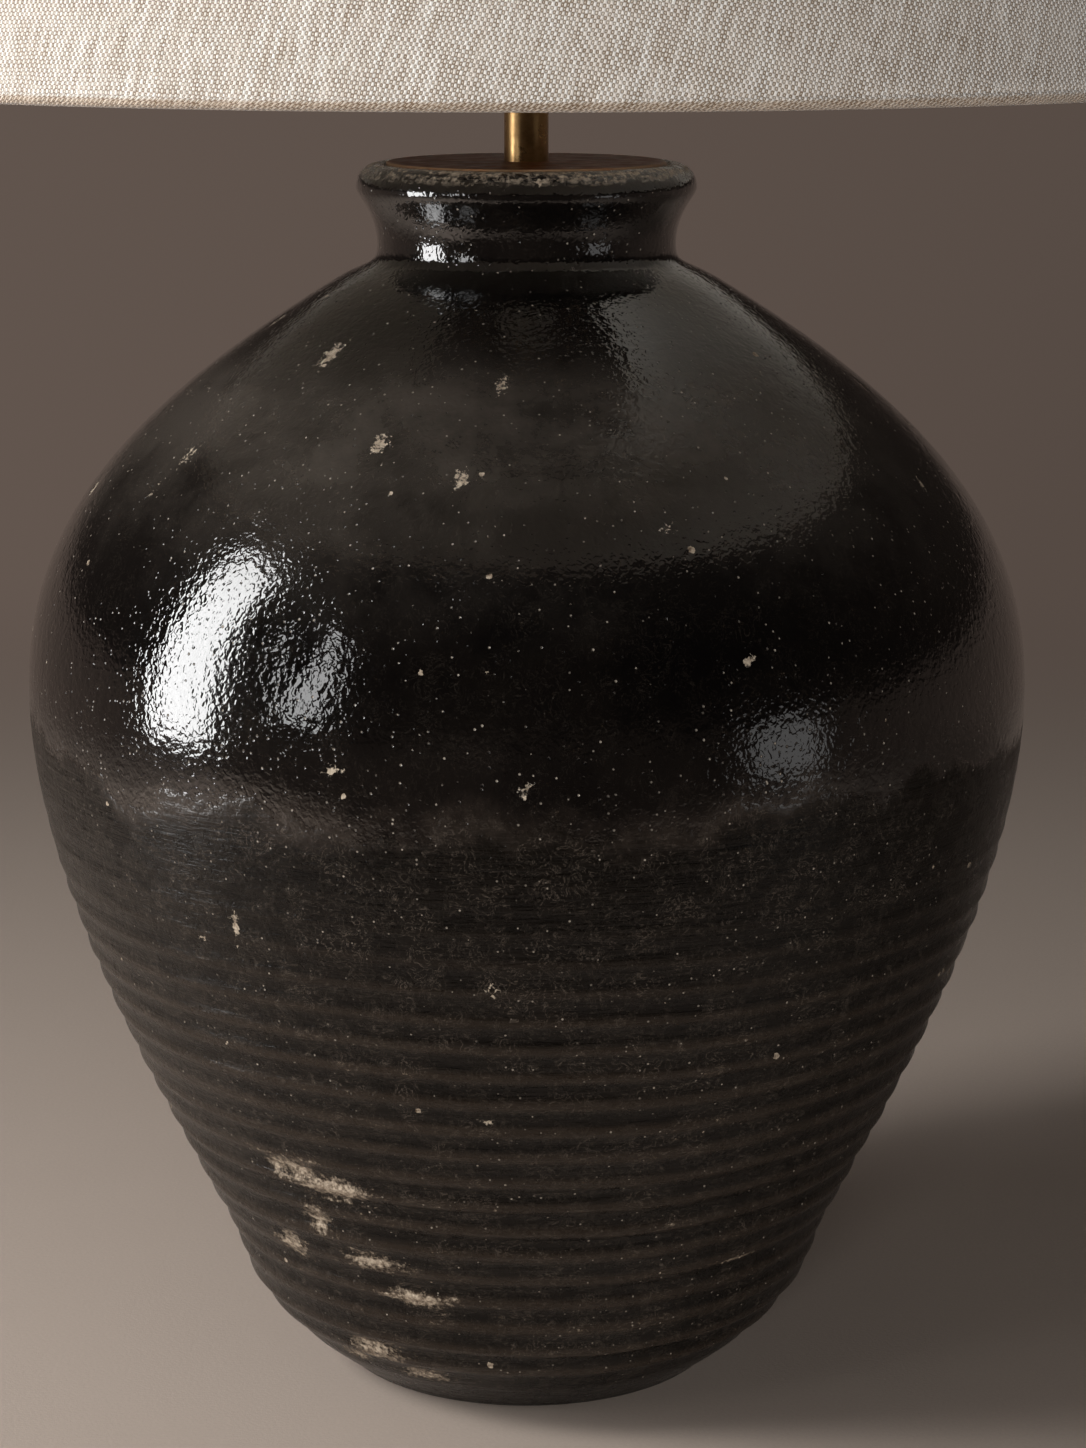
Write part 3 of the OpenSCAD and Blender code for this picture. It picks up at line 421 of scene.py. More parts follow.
def hairlines(add, place, dirt, thick):
    """Hair-fine scratches and crazing, about 0.4 mm wide and 5 to 20 mm long, mostly in the thin glaze:
    lines along which a twisted noise passes its middle."""
    hair = add("TexNoise", {
        "Vector": place, "Scale": 190, "Detail": 3, "Roughness": 0.6, "Distortion": 2.2})
    off = add("Math", {0: hair, 1: 0.5}, operation="SUBTRACT")
    off = add("Math", {0: off}, operation="ABSOLUTE")
    line = add("MapRange", {0: off, 1: 0.006, 2: 0.02, 3: 1, 4: 0})
    here = add("MapRange", {0: dirt, 1: 0.44, 2: 0.56})
    share = add("MapRange", {0: thick, 3: 0.38, 4: 0.07})
    line = add("Math", {0: line, 1: here}, operation="MULTIPLY")
    return add("Math", {0: line, 1: share}, operation="MULTIPLY")


def glaze_pits(add, place, cloud):
    """Pits 0.6 to 0.9 mm wide, every 2.4 mm or so, most of them shallow and some pale: their depth, and
    their pale specks, which are partly dust in the pits and partly painted glints."""
    cell = add("TexVoronoi", {"Vector": place, "Scale": 420}, feature="F1")
    pick = add("SeparateColor", {0: cell.outputs["Color"]})
    depth = add("Math", {0: pick.outputs[0], 1: 1.6}, operation="POWER")
    bowl = add("MapRange", {0: cell.outputs["Distance"], 1: 0.05, 2: 0.25, 3: 1, 4: 0},
               interpolation_type="SMOOTHSTEP")
    hole = add("Math", {0: bowl, 1: depth}, operation="MULTIPLY")
    here = add("MapRange", {0: cloud, 1: 0.36, 2: 0.56, 3: 0.6, 4: 1.0})
    hole = add("Math", {0: hole, 1: here}, operation="MULTIPLY")
    deep = add("MapRange", {0: hole, 1: 0.18, 2: 0.4})
    # Pale specks in some pits: partly dust, partly painted glints
    full = add("MapRange", {0: pick.outputs[1], 1: 0.4, 2: 1.0})
    return hole, add("Math", {0: deep, 1: full}, operation="MULTIPLY")


def bare_clay(add, place, ridge, streak, dirt, torn, crest):
    """Where bare clay shows, every edge torn by a fine noise: chips, rubbed patches that keep to the
    ridges, flecks up to 2.5 mm wide every 25 mm or so, and scuffs along the crest of the lip. It also
    gives the brown round the rubbed patches."""
    chip, worn = (add("Attribute", attribute_name=name).outputs["Fac"] for name in ("chip", "worn"))
    chip_edge = add("Math", {0: torn, 1: 2.6, 2: chip}, operation="MULTIPLY_ADD")
    bare = add("MapRange", {0: chip_edge, 1: 1.88, 2: 2.0})

    rub = worn
    for noise, amount in ((ridge, 0.2), (streak, 1.2), (dirt, 1.4), (torn, 2.0)):
        rub = add("Math", {0: noise, 1: amount, 2: rub}, operation="MULTIPLY_ADD")
    rubbed = add("MapRange", {0: rub, 1: 2.88, 2: 3.34})
    browned = add("MapRange", {0: rub, 1: 2.72, 2: 3.2, 4: 0.7})

    fleck = add("TexVoronoi", {"Vector": place, "Scale": 80}, feature="F1")
    pick = add("SeparateColor", {0: fleck.outputs["Color"]})
    size = add("Math", {0: pick.outputs[1], 1: 0.5, 2: -0.47}, operation="MULTIPLY_ADD")
    size = add("Math", {0: torn, 1: 0.16, 2: size}, operation="MULTIPLY_ADD")
    flecked = add("Math", {0: fleck.outputs["Distance"], 1: size}, operation="LESS_THAN")

    scuff_edge = add("Math", {0: torn, 1: 0.9, 2: streak}, operation="MULTIPLY_ADD")
    scuffed = add("MapRange", {0: scuff_edge, 1: 0.88, 2: 1.03, 4: 0.9})
    scuffed = add("Math", {0: scuffed, 1: crest}, operation="MULTIPLY")
    for other in (rubbed, flecked, scuffed):
        bare = add("Math", {0: bare, 1: other}, operation="MAXIMUM")
    return bare, browned


def glaze_relief(add, place, streak, thick, hole, bare):
    """Orange peel, swells of about 6 mm with crinkles of about 1.8 mm on them, then the thin glaze's
    turning lines, the pits, and the chips and rubbed patches."""
    wide = add("TexNoise", {
        "Vector": place, "Scale": 165, "Detail": 1, "Roughness": 0.5, "Distortion": 0.6})
    fine = add("TexNoise", {
        "Vector": place, "Scale": 540, "Detail": 1, "Roughness": 0.4, "Distortion": 0.5})
    peel = add("Math", {0: fine, 1: 0.85, 2: wide}, operation="MULTIPLY_ADD")
    thin = add("Math", {0: 1.0, 1: thick}, operation="SUBTRACT")
    lines = add("Math", {0: streak, 1: thin}, operation="MULTIPLY")
    skin = add("Bump", {"Height": peel, "Strength": 1, "Distance": 0.19 * MM})
    for height, share, deep, sunk in (
            (lines, 1, 0.7, False), (hole, 1, 0.26, True), (bare, 0.7, 0.25, True)):
        skin = add("Bump", {
            "Height": height, "Strength": share, "Distance": deep * MM, "Normal": skin}, invert=sunk)
    return skin


def stoneware_glaze():
    """Stoneware under an iron-black glaze, thrown and dipped: wet black and lightly pitted above, a thin
    brown-black satin below, with pale clay where it is chipped or rubbed."""
    made, add, shader, place = material("iron_black_glaze")
    height = add("SeparateXYZ", {0: place}).outputs["Z"]
    ridge = add("Attribute", attribute_name="ridge").outputs["Fac"]
    crest = add("MapRange", {0: height, 1: 0.4465, 2: 0.4500})
    # Clouds 40 to 80 mm across, dirt of about 11 mm and a noise of about 2 mm that tears edges
    cloud = add("TexNoise", {"Vector": place, "Scale": 15, "Detail": 7, "Roughness": 0.66})
    dirt = add("TexNoise", {"Vector": place, "Scale": 90, "Detail": 8, "Roughness": 0.75})
    torn = add("TexNoise", {"Vector": place, "Scale": 520, "Detail": 6, "Roughness": 0.7})
    streak = turning_streak(add, place)

    thick, hazy = glaze_edge(add, place, height, cloud, dirt)
    film = dust_film(add, height, cloud)
    hairline = hairlines(add, place, dirt, thick)
    hole, dust_and_glint_specks = glaze_pits(add, place, cloud)
    bare, browned = bare_clay(add, place, ridge, streak, dirt, torn, crest)
    dusty = add("Math", {0: crest, 1: 0.3}, operation="MULTIPLY")

    # Coats from the glaze outwards, with the bare clay over them all
    coat = glaze_colour(add, ridge, streak, cloud, dirt, thick)
    # The pale specks in the pits are partly dust and partly painted glints
    for share, tint in ((hazy, "#352d27"), (film, "#46403a"), (hairline, "#6f6459"),
                        (dusty, "#2f2822"), (browned, "#4b3d2f"), (dust_and_glint_specks, "#978d80")):
        coat = add("Mix", {0: share, 6: coat, 7: tint}, data_type="RGBA")
    clay_tone = add("MapRange", {0: torn, 1: 0.36, 2: 0.66})
    clay = add("Mix", {0: clay_tone, 6: "#5b4b3c", 7: "#bdae9a"}, data_type="RGBA")
    base = add("Mix", {0: bare, 6: coat, 7: clay}, data_type="RGBA")

    gloss = add("MapRange", {0: cloud, 1: 0.35, 2: 0.75, 3: 0.06, 4: 0.2})
    satin = add("MapRange", {0: dirt, 1: 0.3, 2: 0.7, 3: 0.2, 4: 0.38})
    rough = add("Mix", {0: thick, 2: satin, 3: gloss})
    rough = add("Math", {0: hazy, 1: 0.25, 2: rough}, operation="MULTIPLY_ADD")
    rough = add("Math", {0: dusty, 1: 0.5, 2: rough}, operation="MULTIPLY_ADD")
    marked = add("Math", {0: bare, 1: dust_and_glint_specks}, operation="MAXIMUM")
    rough = add("Mix", {0: marked, 2: rough, 3: 0.8})

    # The thick glaze has a wet second gloss, which ends at its edge, under dust and where it is marked
    wet = thick
    for cover in (film, marked):
        clear = add("Math", {0: 1.0, 1: cover}, operation="SUBTRACT", use_clamp=True)
        wet = add("Math", {0: wet, 1: clear}, operation="MULTIPLY")
    relief = glaze_relief(add, place, streak, thick, hole, bare)
    feed(shader, {
        "Base Color": base, "Roughness": rough, "Normal": relief, "IOR": 1.5, "Specular IOR Level": 0.3,
        "Coat Weight": wet, "Coat Roughness": 0.05, "Coat IOR": 1.7, "Coat Normal": relief})
    return made


# Shade

SLANT = np.linalg.norm(TOP_RING - LOW_RING)
UP_SLANT = (TOP_RING - LOW_RING) / SLANT
OUT_SLANT = np.array((UP_SLANT[1], -UP_SLANT[0]))
TAPER = -UP_SLANT[0]
APEX_REACH = LOW_RING[0] / TAPER


def linen_grid(section, reach, columns):
    """A section turned about the Z axis with the linen's flat cut as its UV, in metres. The cone unrolls
    to a fan: a point at a given reach from the apex and angle round the shade lies at the reach times
    the sine and cosine of that angle times the taper."""
    angle = np.linspace(-np.pi, np.pi, columns)
    fan = angle * TAPER
    uv = np.stack([np.outer(reach, np.sin(fan)), np.outer(reach, np.cos(fan))], -1) * MM
    return turned(section[:, 0], section[:, 1], angle), uv


def make_linen_cover():
    """One sheet that wraps a wire at each end: the outer line goes round the lower wire, up the slant
    and round the upper wire, and the inner line follows it at the linen's thickness."""
    lean = np.degrees(np.arctan2(OUT_SLANT[1], OUT_SLANT[0]))
    tuck = np.degrees(np.arccos((ROLL_R - LINEN_T) / ROLL_R)) + 4
    turns = 26

    # Distance up the slant, in close steps at both hems, where a crease parts each hem from the face
    close = np.arange(0.3, 4.3, 0.3)
    up = np.concatenate([close, np.linspace(5, SLANT - 5, 60), SLANT - close[::-1]])
    crease = CREASE_DEPTH * (np.exp(-((up - 1.1) / 0.7) ** 2) + np.exp(-((SLANT - up - 1.1) / 0.7) ** 2))

    def line(radius):
        low = arc(LOW_RING, radius, lean + tuck - 360, lean, turns)
        high = arc(TOP_RING, radius, lean, lean + 360 - tuck, turns)
        face = LOW_RING + up[:, None] * UP_SLANT + (radius - crease)[:, None] * OUT_SLANT
        return np.concatenate([low, face, high])

    outer, inner = line(ROLL_R), line(ROLL_R - LINEN_T)
    step = np.linalg.norm(np.diff(outer, axis=0), axis=1)
    length = np.concatenate([[0], np.cumsum(step)])
    along = length - length[turns - 1]
    section = np.concatenate([outer, inner[::-1]])
    along = np.concatenate([along, along[::-1]])
    reach = APEX_REACH - along
    columns = 721
    grid, uv = linen_grid(section, reach, columns)
    # In the hems the cloth turns off the straight, so its flat place slips sideways along them
    hem = np.maximum(-along, 0) + np.maximum(along - SLANT, 0)
    uv[..., 0] += 0.9 * hem[:, None] * MM
    # The hems are a little lumpy, and what stands proud there fades into the face
    angle = np.linspace(-np.pi, np.pi, columns)
    lumpy = np.clip(waves(17 * angle, 0 * angle, 5, 31) + waves(61 * angle, 0 * angle, 3, 32), -1, 1)
    lump = LINEN_PROUD * (0.5 + 0.5 * lumpy)
    near = 1 - smooth(2, 2 + HEM_FADE, along) + smooth(SLANT - 2 - HEM_FADE, SLANT - 2, along)
    push = near[:, None] * lump
    grid[..., 0] += push * np.sin(angle)
    grid[..., 1] -= push * np.cos(angle)
    cover = surface("linen_cover", grid[:, :-1], uv=np.concatenate([uv, uv[:1]]))
    keep_value(cover, "hem", np.repeat(smooth(-0.5, 1, hem)[:, None], columns - 1, 1))
    half = np.pi * TAPER
    wide, narrow = reach.max() * MM, reach.min() * MM
    flat = (2 * wide * np.sin(half), wide - narrow * np.cos(half))
    return cover, flat, half * (wide ** 2 - narrow ** 2)


def make_linen_seam():
    """The lap at the back: a strip on the cone, as wide as the lap, between the rolled edges."""
    along = np.linspace(SEAM_END, SLANT - SEAM_END, 60)
    face = LOW_RING + along[:, None] * UP_SLANT
    low = face + (ROLL_R - 0.2) * OUT_SLANT
    high = face + (ROLL_R + SEAM_T) * OUT_SLANT
    half = SEAM_W / 2 / high[:, 0]
    across = np.linspace(-1, 1, 9)
    crown = np.sqrt(np.clip(1 - across ** 2, 0, 1)) ** 0.3
    angle = np.pi + np.outer(half, across)
    top = low[:, None, :] + crown[None, :, None] * (high - low)[:, None, :]
    rows = np.concatenate([top, np.repeat(low[:, None, :], 9, 1)[:, ::-1]], 1)
    angle = np.concatenate([angle, angle[:, ::-1]], 1)
    grid = np.stack([rows[..., 0] * np.sin(angle), -rows[..., 0] * np.cos(angle), rows[..., 1]], -1)
    middle = grid.mean(1, keepdims=True)
    start, end = (np.repeat(point, grid.shape[1], 1) for point in (middle[:1], middle[-1:]))
    grid = np.concatenate([start, grid, end])
    reach = APEX_REACH - np.concatenate([along[:1], along, along[-1:]])
    fan = np.concatenate([angle[:1], angle, angle[-1:]]) * TAPER
    uv = np.stack([reach[:, None] * np.sin(fan), reach[:, None] * np.cos(fan)], -1) * MM
    uv = np.concatenate([uv, uv[:, :1]], 1)
    return surface("linen_seam", grid, closed=(False, True), uv=uv, poles=True)


def woven_linen():
    """Natural linen in a plain weave of uneven, slubby yarn, 28 threads to the inch one way and 20 the
    other, cut off the straight: pale beads of yarn over gaps painted darker as shade."""
    made, add, shader, flat = material("woven_linen", "UV")
    warp_pitch, weft_pitch = 0.9 * MM, 1.25 * MM
    warp_lean, weft_lean = np.radians(13), np.radians(8.5)

    # Yarns wander by up to half a pitch over 30 mm and a little over 6 mm
    drift = add("TexNoise", {"Vector": flat, "Scale": 30, "Detail": 3}, noise_dimensions="2D")
    jitter = add("TexNoise", {"Vector": flat, "Scale": 170, "Detail": 2}, noise_dimensions="2D")
    wander = add("Mix", {
        0: 0.25, 6: drift.outputs["Color"], 7: jitter.outputs["Color"]}, data_type="RGBA")
    apart = add("SeparateColor", {0: wander})
    warp_way = (np.cos(warp_lean) / warp_pitch, np.sin(warp_lean) / warp_pitch, 0)
    weft_way = (-np.sin(weft_lean) / weft_pitch, np.cos(weft_lean) / weft_pitch, 0)
    across = add("VectorMath", {0: flat, 1: warp_way}, operation="DOT_PRODUCT")
    down = add("VectorMath", {0: flat, 1: weft_way}, operation="DOT_PRODUCT")
    across = add("Math", {0: apart.outputs[0], 1: 3.2, 2: across}, operation="MULTIPLY_ADD")
    down = add("Math", {0: apart.outputs[1], 1: 2.2, 2: down}, operation="MULTIPLY_ADD")
    warp_number = add("Math", {0: across}, operation="ROUND")
    weft_number = add("Math", {0: down}, operation="ROUND")

    # Thickness of each yarn along its length
    slubs = []
    for number, along, stretch, layer in ((warp_number, down, 0.09, 0), (weft_number, across, 0.06, 40)):
        yarn_place = add("Math", {0: number, 1: 3.7}, operation="MULTIPLY")
        way_along = add("Math", {0: along, 1: stretch}, operation="MULTIPLY")
        slub_place = add("CombineXYZ", {0: yarn_place, 1: way_along, 2: layer})
        slubs.append(add("TexNoise", {"Vector": slub_place, "Scale": 1, "Detail": 3}))
    warp_slub, weft_slub = slubs

    # Plain weave: the product of the two yarns' waves is high where the warp crosses over, low where the
    # weft does and zero at the gaps. The warp's beads are broad and the weft's lie deeper between them.
    waved = []
    for way in (across, down):
        phase = add("Math", {0: way, 1: np.pi}, operation="MULTIPLY")
        waved.append(add("Math", {0: phase}, operation="COSINE"))
    cross = add("Math", {0: waved[0], 1: waved[1]}, operation="MULTIPLY")
    thin = add("MapRange", {0: warp_slub, 1: 0.3, 2: 0.7, 3: 0.05, 4: -0.65})
    warp_bead = add("MapRange", {0: cross, 1: thin, 2: 0.85}, interpolation_type="SMOOTHSTEP")
    weft_thin = add("MapRange", {0: weft_slub, 1: 0.3, 2: 0.7, 3: -0.75, 4: -0.2})
    weft_bead = add("MapRange", {0: cross, 1: weft_thin, 2: -1.0, 4: 0.5})
    lift = add("Math", {0: warp_bead, 1: weft_bead}, operation="MAXIMUM")
    warp_up = add("Math", {0: warp_bead, 1: weft_bead}, operation="GREATER_THAN")
    lump = add("MapRange", {0: warp_slub, 1: 0.6, 2: 0.75, 4: 0.5})
    relief = add("Math", {0: lift, 1: lump}, operation="ADD")

    # Each yarn has its own tone, and the weft is painted darker than the warp, as shade where it lies
    # deeper
    warp_tone = add("TexWhiteNoise", {"W": warp_number}, noise_dimensions="1D")
    weft_label = add("Math", {0: weft_number, 1: 0.5}, operation="ADD")
    weft_tone = add("TexWhiteNoise", {"W": weft_label}, noise_dimensions="1D")
    warp, weft = (
        add("Mix", {0: tone, 6: dark, 7: pale}, data_type="RGBA")
        for tone, dark, pale in ((warp_tone, "#f4ede5", "#fffdf9"), (weft_tone, "#d3c7b8", "#eee6da")))
    yarn = add("Mix", {0: warp_up, 6: weft, 7: warp}, data_type="RGBA")
    # Painted shade: the colour falls to the dark gap colour where the weave's relief is low
    yarn_share_over_gap_shade = add("MapRange", {0: lift, 1: 0.0, 2: 0.4})
    base = add("Mix", {0: yarn_share_over_gap_shade, 6: "#8b7966", 7: yarn}, data_type="RGBA")
    # Both hems are painted darker, as painted shade
    hem = add("Attribute", attribute_name="hem").outputs["Fac"]
    hem_painted_shade = add("MapRange", {0: hem, 4: 0.75})
    base = add("Mix", {0: hem_painted_shade, 6: base, 7: "#c3ad95"}, data_type="RGBA", blend_type="MULTIPLY")
    raised = add("Bump", {"Height": relief, "Strength": 1, "Distance": 0.28 * MM})
    feed(shader, {
        "Base Color": base, "Normal": raised, "Roughness": 0.85, "Sheen Weight": 0.35,
        "Sheen Roughness": 0.5, "Specular IOR Level": 0.3})
    return made


# Fittings

def make_harp_wire():
    """The harp: a round wire along straight legs, a knee outwards, a long curve inwards on each side and
    a tight crown. All bends are arcs that meet in line."""
    knee = np.degrees(np.arccos(1 - (HARP_HALF_W - HARP_FOOT_X) / (HARP_SIDE_R + HARP_KNEE_R)))
    side_low = HARP_LEG_TOP + (HARP_SIDE_R + HARP_KNEE_R) * np.sin(np.radians(knee))
    crown = np.degrees(np.arccos((HARP_SIDE_R - HARP_HALF_W) / (HARP_SIDE_R - HARP_CROWN_R)))
    crown_z = HARP_H - HARP_BOSS_H / 2
    side_top = crown_z - HARP_CROWN_R - (HARP_SIDE_R - HARP_CROWN_R) * np.sin(np.radians(crown))
    side_x = HARP_HALF_W - HARP_SIDE_R
    half = np.concatenate([
        [(HARP_FOOT_X, HARP_LOW), (HARP_FOOT_X, HARP_LOW + 0.5), (HARP_FOOT_X, HARP_LEG_TOP - 1)],
        arc((HARP_FOOT_X + HARP_KNEE_R, HARP_LEG_TOP), HARP_KNEE_R, 180, 180 - knee, 14),
        arc((side_x, side_low), HARP_SIDE_R, -knee, 0, 24)[1:],
        arc((side_x, side_top), HARP_SIDE_R, 0, crown, 30),
        arc((0, crown_z - HARP_CROWN_R), HARP_CROWN_R, crown, 90, 20)[1:]])
    path = np.concatenate([half, half[-2::-1] * (-1, 1)]) + (0, HARP_Z)
    return surface("harp_wire", wire(path, HARP_WIRE_R), closed=(False, True), poles=True)


def rounded_ring(name, outer, inner, low, high, edge):
    """A turned ring with rounded corners: its section's corners are quarter circles."""
    corners = [((inner + edge, low + edge), 180), ((outer - edge, low + edge), 270),
               ((outer - edge, high - edge), 0), ((inner + edge, high - edge), 90)]
    section = np.concatenate([arc(centre, edge, start, start + 90, 5) for centre, start in corners])
    return surface(name, turned(section[:, 0], section[:, 1], full_turn(64)))


def make_harp_crown():
    """The boss on the harp's crown, a short turned cylinder with softened edges and closed ends."""
    top, low, edge = HARP_Z + HARP_H, HARP_Z + HARP_H - HARP_BOSS_H, 0.5
    section = np.concatenate([
        [(0, low)], arc((HARP_BOSS_R - edge, low + edge), edge, -90, 0, 5),
        arc((HARP_BOSS_R - edge, top - edge), edge, 0, 90, 5), [(0, top)]])
    grid = turned(section[:, 0], section[:, 1], full_turn(48))
    return surface("harp_crown", grid, closed=(False, True), poles=True)


def make_spider():
    """The spider: a flat turned hub, and wire arms that run level, bend up once and end on the ring."""
    slope = np.radians(ARM_SLOPE)
    rise = ARM_DROP - ARM_BEND * (1 - np.cos(slope))
    bend_x = TOP_RING[0] - rise / np.tan(slope) - ARM_BEND * np.sin(slope)
    tip = np.array((TOP_RING[0], ARM_DROP)) - RING_WIRE_R * np.array((np.cos(slope), np.sin(slope)))
    path = np.concatenate([
        [(HUB_R - 2 * ARM_R, 0), (HUB_R, 0), (bend_x - 1, 0)],
        arc((bend_x, ARM_BEND), ARM_BEND, -90, ARM_SLOPE - 90, 14), [tip]])
    arm = wire(path + (0, ARM_Z), ARM_R)
    pieces = []
    for number in range(3):
        angle = np.pi / 2 + number * TURN / 3
        spun = np.stack([arm[..., 0] * np.cos(angle) - arm[..., 1] * np.sin(angle),
                         arm[..., 0] * np.sin(angle) + arm[..., 1] * np.cos(angle), arm[..., 2]], -1)
        pieces.append(surface(f"spider_arm_{number + 1}", spun, closed=(False, True), poles=True))
    return rounded_ring("spider_hub", HUB_R, HUB_BORE_R, HUB_Z, HUB_Z + HUB_T, 0.3), pieces


def make_bulb_screw():
    """The bulb's screw base: a rolled thread, the radius a cosine of height less turn, faded at both
    ends, over a cone at the foot and a rolled rim."""
    low, high = (corner.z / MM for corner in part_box("bulb_base"))
    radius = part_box("bulb_base")[1].x / MM
    pitch, depth, foot = 3.629, 0.8, 3
    z = np.linspace(low + foot, high, 90)[:, None]
    angle = full_turn(72)[None, :]
    fade = smooth(low + foot, low + foot + 2, z) * (1 - smooth(high - 3, high - 1, z))
    r = radius - depth * fade * (0.5 - 0.5 * np.cos(TURN * (z - low) / pitch - angle))
    wall = np.stack([r * np.sin(angle), -r * np.cos(angle), z + 0 * angle], -1)
    foot_ring = turned((0.7 * radius, 0.8 * radius), (low + 0.4, low), angle)
    inner = turned((radius - 0.5, radius - 1.4, 0.7 * radius), (high, low + foot + 1, low + 1), angle)
    return surface("bulb_screw", np.concatenate([foot_ring, wall, inner]))


def aged_brass():
    """Turned brass, lacquer gone: warm satin metal, browned in patches, with fine turning lines."""
    made, add, shader, place = material("aged_brass")
    tarnish = add("TexNoise", {"Vector": place, "Scale": 120, "Detail": 6, "Roughness": 0.65})
    browned = add("MapRange", {0: tarnish, 1: 0.42, 2: 0.72, 4: 0.85})
    base = add("Mix", {0: browned, 6: "#ad8c5f", 7: "#664c32"}, data_type="RGBA")
    rough = add("MapRange", {0: tarnish, 1: 0.3, 2: 0.75, 3: 0.24, 4: 0.46})
    stretch = add("Mapping", {"Vector": place, "Scale": (60, 60, 2400)})
    lines = add("TexNoise", {"Vector": stretch, "Scale": 1, "Detail": 3})
    turned_lines = add("Bump", {"Height": lines, "Strength": 0.35, "Distance": 0.03 * MM})
    feed(shader, {"Base Color": base, "Roughness": rough, "Normal": turned_lines, "Metallic": 1})
    return made


def aged_wood():
    """Old stained hardwood, turned and waxed: dark brown with close grain across the cap, paler where the
    edge is rubbed."""
    made, add, shader, place = material("stained_hardwood")
    stretch = add("Mapping", {"Vector": place, "Scale": (25, 420, 420)})
    grain = add("TexNoise", {
        "Vector": stretch, "Scale": 1, "Detail": 8, "Roughness": 0.65, "Distortion": 0.4})
    grain_tone = add("MapRange", {0: grain, 1: 0.35, 2: 0.7})
    wood = add("Mix", {0: grain_tone, 6: "#351908", 7: "#7e4119"}, data_type="RGBA")
    apart = add("SeparateXYZ", {0: place})
    flat = add("CombineXYZ", {0: apart.outputs["X"], 1: apart.outputs["Y"]})
    radius = add("VectorMath", {0: flat}, operation="LENGTH")
    rub = add("TexNoise", {"Vector": place, "Scale": 160, "Detail": 4})
    rim = add("MapRange", {0: radius, 1: 0.0485, 2: 0.0505})
    rubbed = add("Math", {0: rim, 1: rub}, operation="MULTIPLY")
    base = add("Mix", {0: rubbed, 6: wood, 7: "#a08668"}, data_type="RGBA")
    rough = add("MapRange", {0: rub, 1: 0.3, 2: 0.7, 3: 0.38, 4: 0.6})
    pores = add("Bump", {"Height": grain, "Strength": 0.6, "Distance": 0.12 * MM})
    feed(shader, {"Base Color": base, "Roughness": rough, "Normal": pores, "Specular IOR Level": 0.15})
    return made


def mottled(name, dark, pale, grain, rough_low, rough_high, relief, fixed):
    """A plain finish with grain of the given size in mm. Its colour, roughness and relief follow one
    noise."""
    made, add, shader, place = material(name)
    noise = add("TexNoise", {"Vector": place, "Scale": 1 / (grain * MM), "Detail": 4, "Roughness": 0.6})
    share = add("MapRange", {0: noise, 1: 0.32, 2: 0.68})
    base = add("Mix", {0: share, 6: dark, 7: pale}, data_type="RGBA")
    rough = add("MapRange", {0: noise, 1: 0.3, 2: 0.7, 3: rough_low, 4: rough_high})
    bump = add("Bump", {"Height": noise, "Strength": 0.8, "Distance": relief * MM})
    feed(shader, {"Base Color": base, "Roughness": rough, "Normal": bump, **fixed})
    return made


def finishes():
    """One material for each slot of the record."""
    plain = {
        # Zinc-plated steel: cool grey metal with a faint spangle
        "zinc_steel": ("zinc_plated_steel", "#8b8d90", "#a9abad", 2.5, 0.3, 0.42, 0.01, {"Metallic": 1}),
        # Moulded nitrile rubber: matt black with a dry bloom
        "black_rubber": ("moulded_rubber", "#161616", "#262524", 1.2, 0.7, 0.85, 0.03, {}),
        # Moulded phenolic: deep black-brown with a soft polish
        "black_phenolic": ("moulded_phenolic", "#14110f", "#221b17", 1.5, 0.25, 0.38, 0.01, {}),
        # Pressed card: tan fibres, matt
        "card": ("pressed_card", "#7c5f3e", "#a07f57", 0.8, 0.8, 0.92, 0.05, {}),
        # Drawn aluminium: pale satin metal
        "bulb_aluminium": ("drawn_aluminium", "#b4b6b8", "#cfd0d1", 2, 0.28, 0.4, 0.01, {"Metallic": 1}),
        # Etched glass: milky white, smooth to the touch, letting a little light through
        "frosted_glass": (
            "etched_glass", "#e9e6df", "#f3f1ec", 3, 0.32, 0.42, 0.004, {"Transmission Weight": 0.25}),
        # Styrene sheet: bright white, satin
        "shade_backing": ("styrene_sheet", "#eae6dc", "#f2efe7", 6, 0.42, 0.55, 0.01, {}),
        # Pressed wool felt: dark grey fibres, no gloss
        "felt": ("wool_felt", "#211f1d", "#3a3734", 0.7, 0.92, 1.0, 0.12, {})}
    return {
        "jar_glaze": stoneware_glaze(), "linen": woven_linen(), "aged_brass": aged_brass(),
        "dark_wood": aged_wood(), **{slot: mottled(*look) for slot, look in plain.items()}}


def dress(piece, finish, body):
    """Gives a new piece its finish and its body."""
    piece.data.materials.append(FINISHES[finish])
    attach(piece, body)


def dress_cad_nodes():
    """Gives each CAD node the material of its slot."""
    for part in frame["record"]["subparts"]:
        for slot in frame["nodes"][part["node"]].material_slots:
            slot.link = "OBJECT"
            slot.material = FINISHES[part["material_slot"]]


# Studio

def softbox(name, centre, width, height, aim, brightness, mirrored=True):
    """A rectangular lamp whose face has the given brightness, where 1 is white. One that isn't mirrored
    lights the object without a bright patch in its gloss."""
    light = bpy.data.lights.new(name, "AREA")
    light.shape, light.size, light.size_y = "RECTANGLE", width, height
    light.energy = brightness * np.pi * width * height
    lamp = bpy.data.objects.new(name, light)
    lamp.location = centre
    lamp.rotation_euler = (Vector(aim) - Vector(centre)).to_track_quat("-Z", "Y").to_euler()
    lamp.visible_camera = False
    lamp.visible_glossy = mirrored
    bpy.context.scene.collection.objects.link(lamp)


ROOM = "#5c5049"


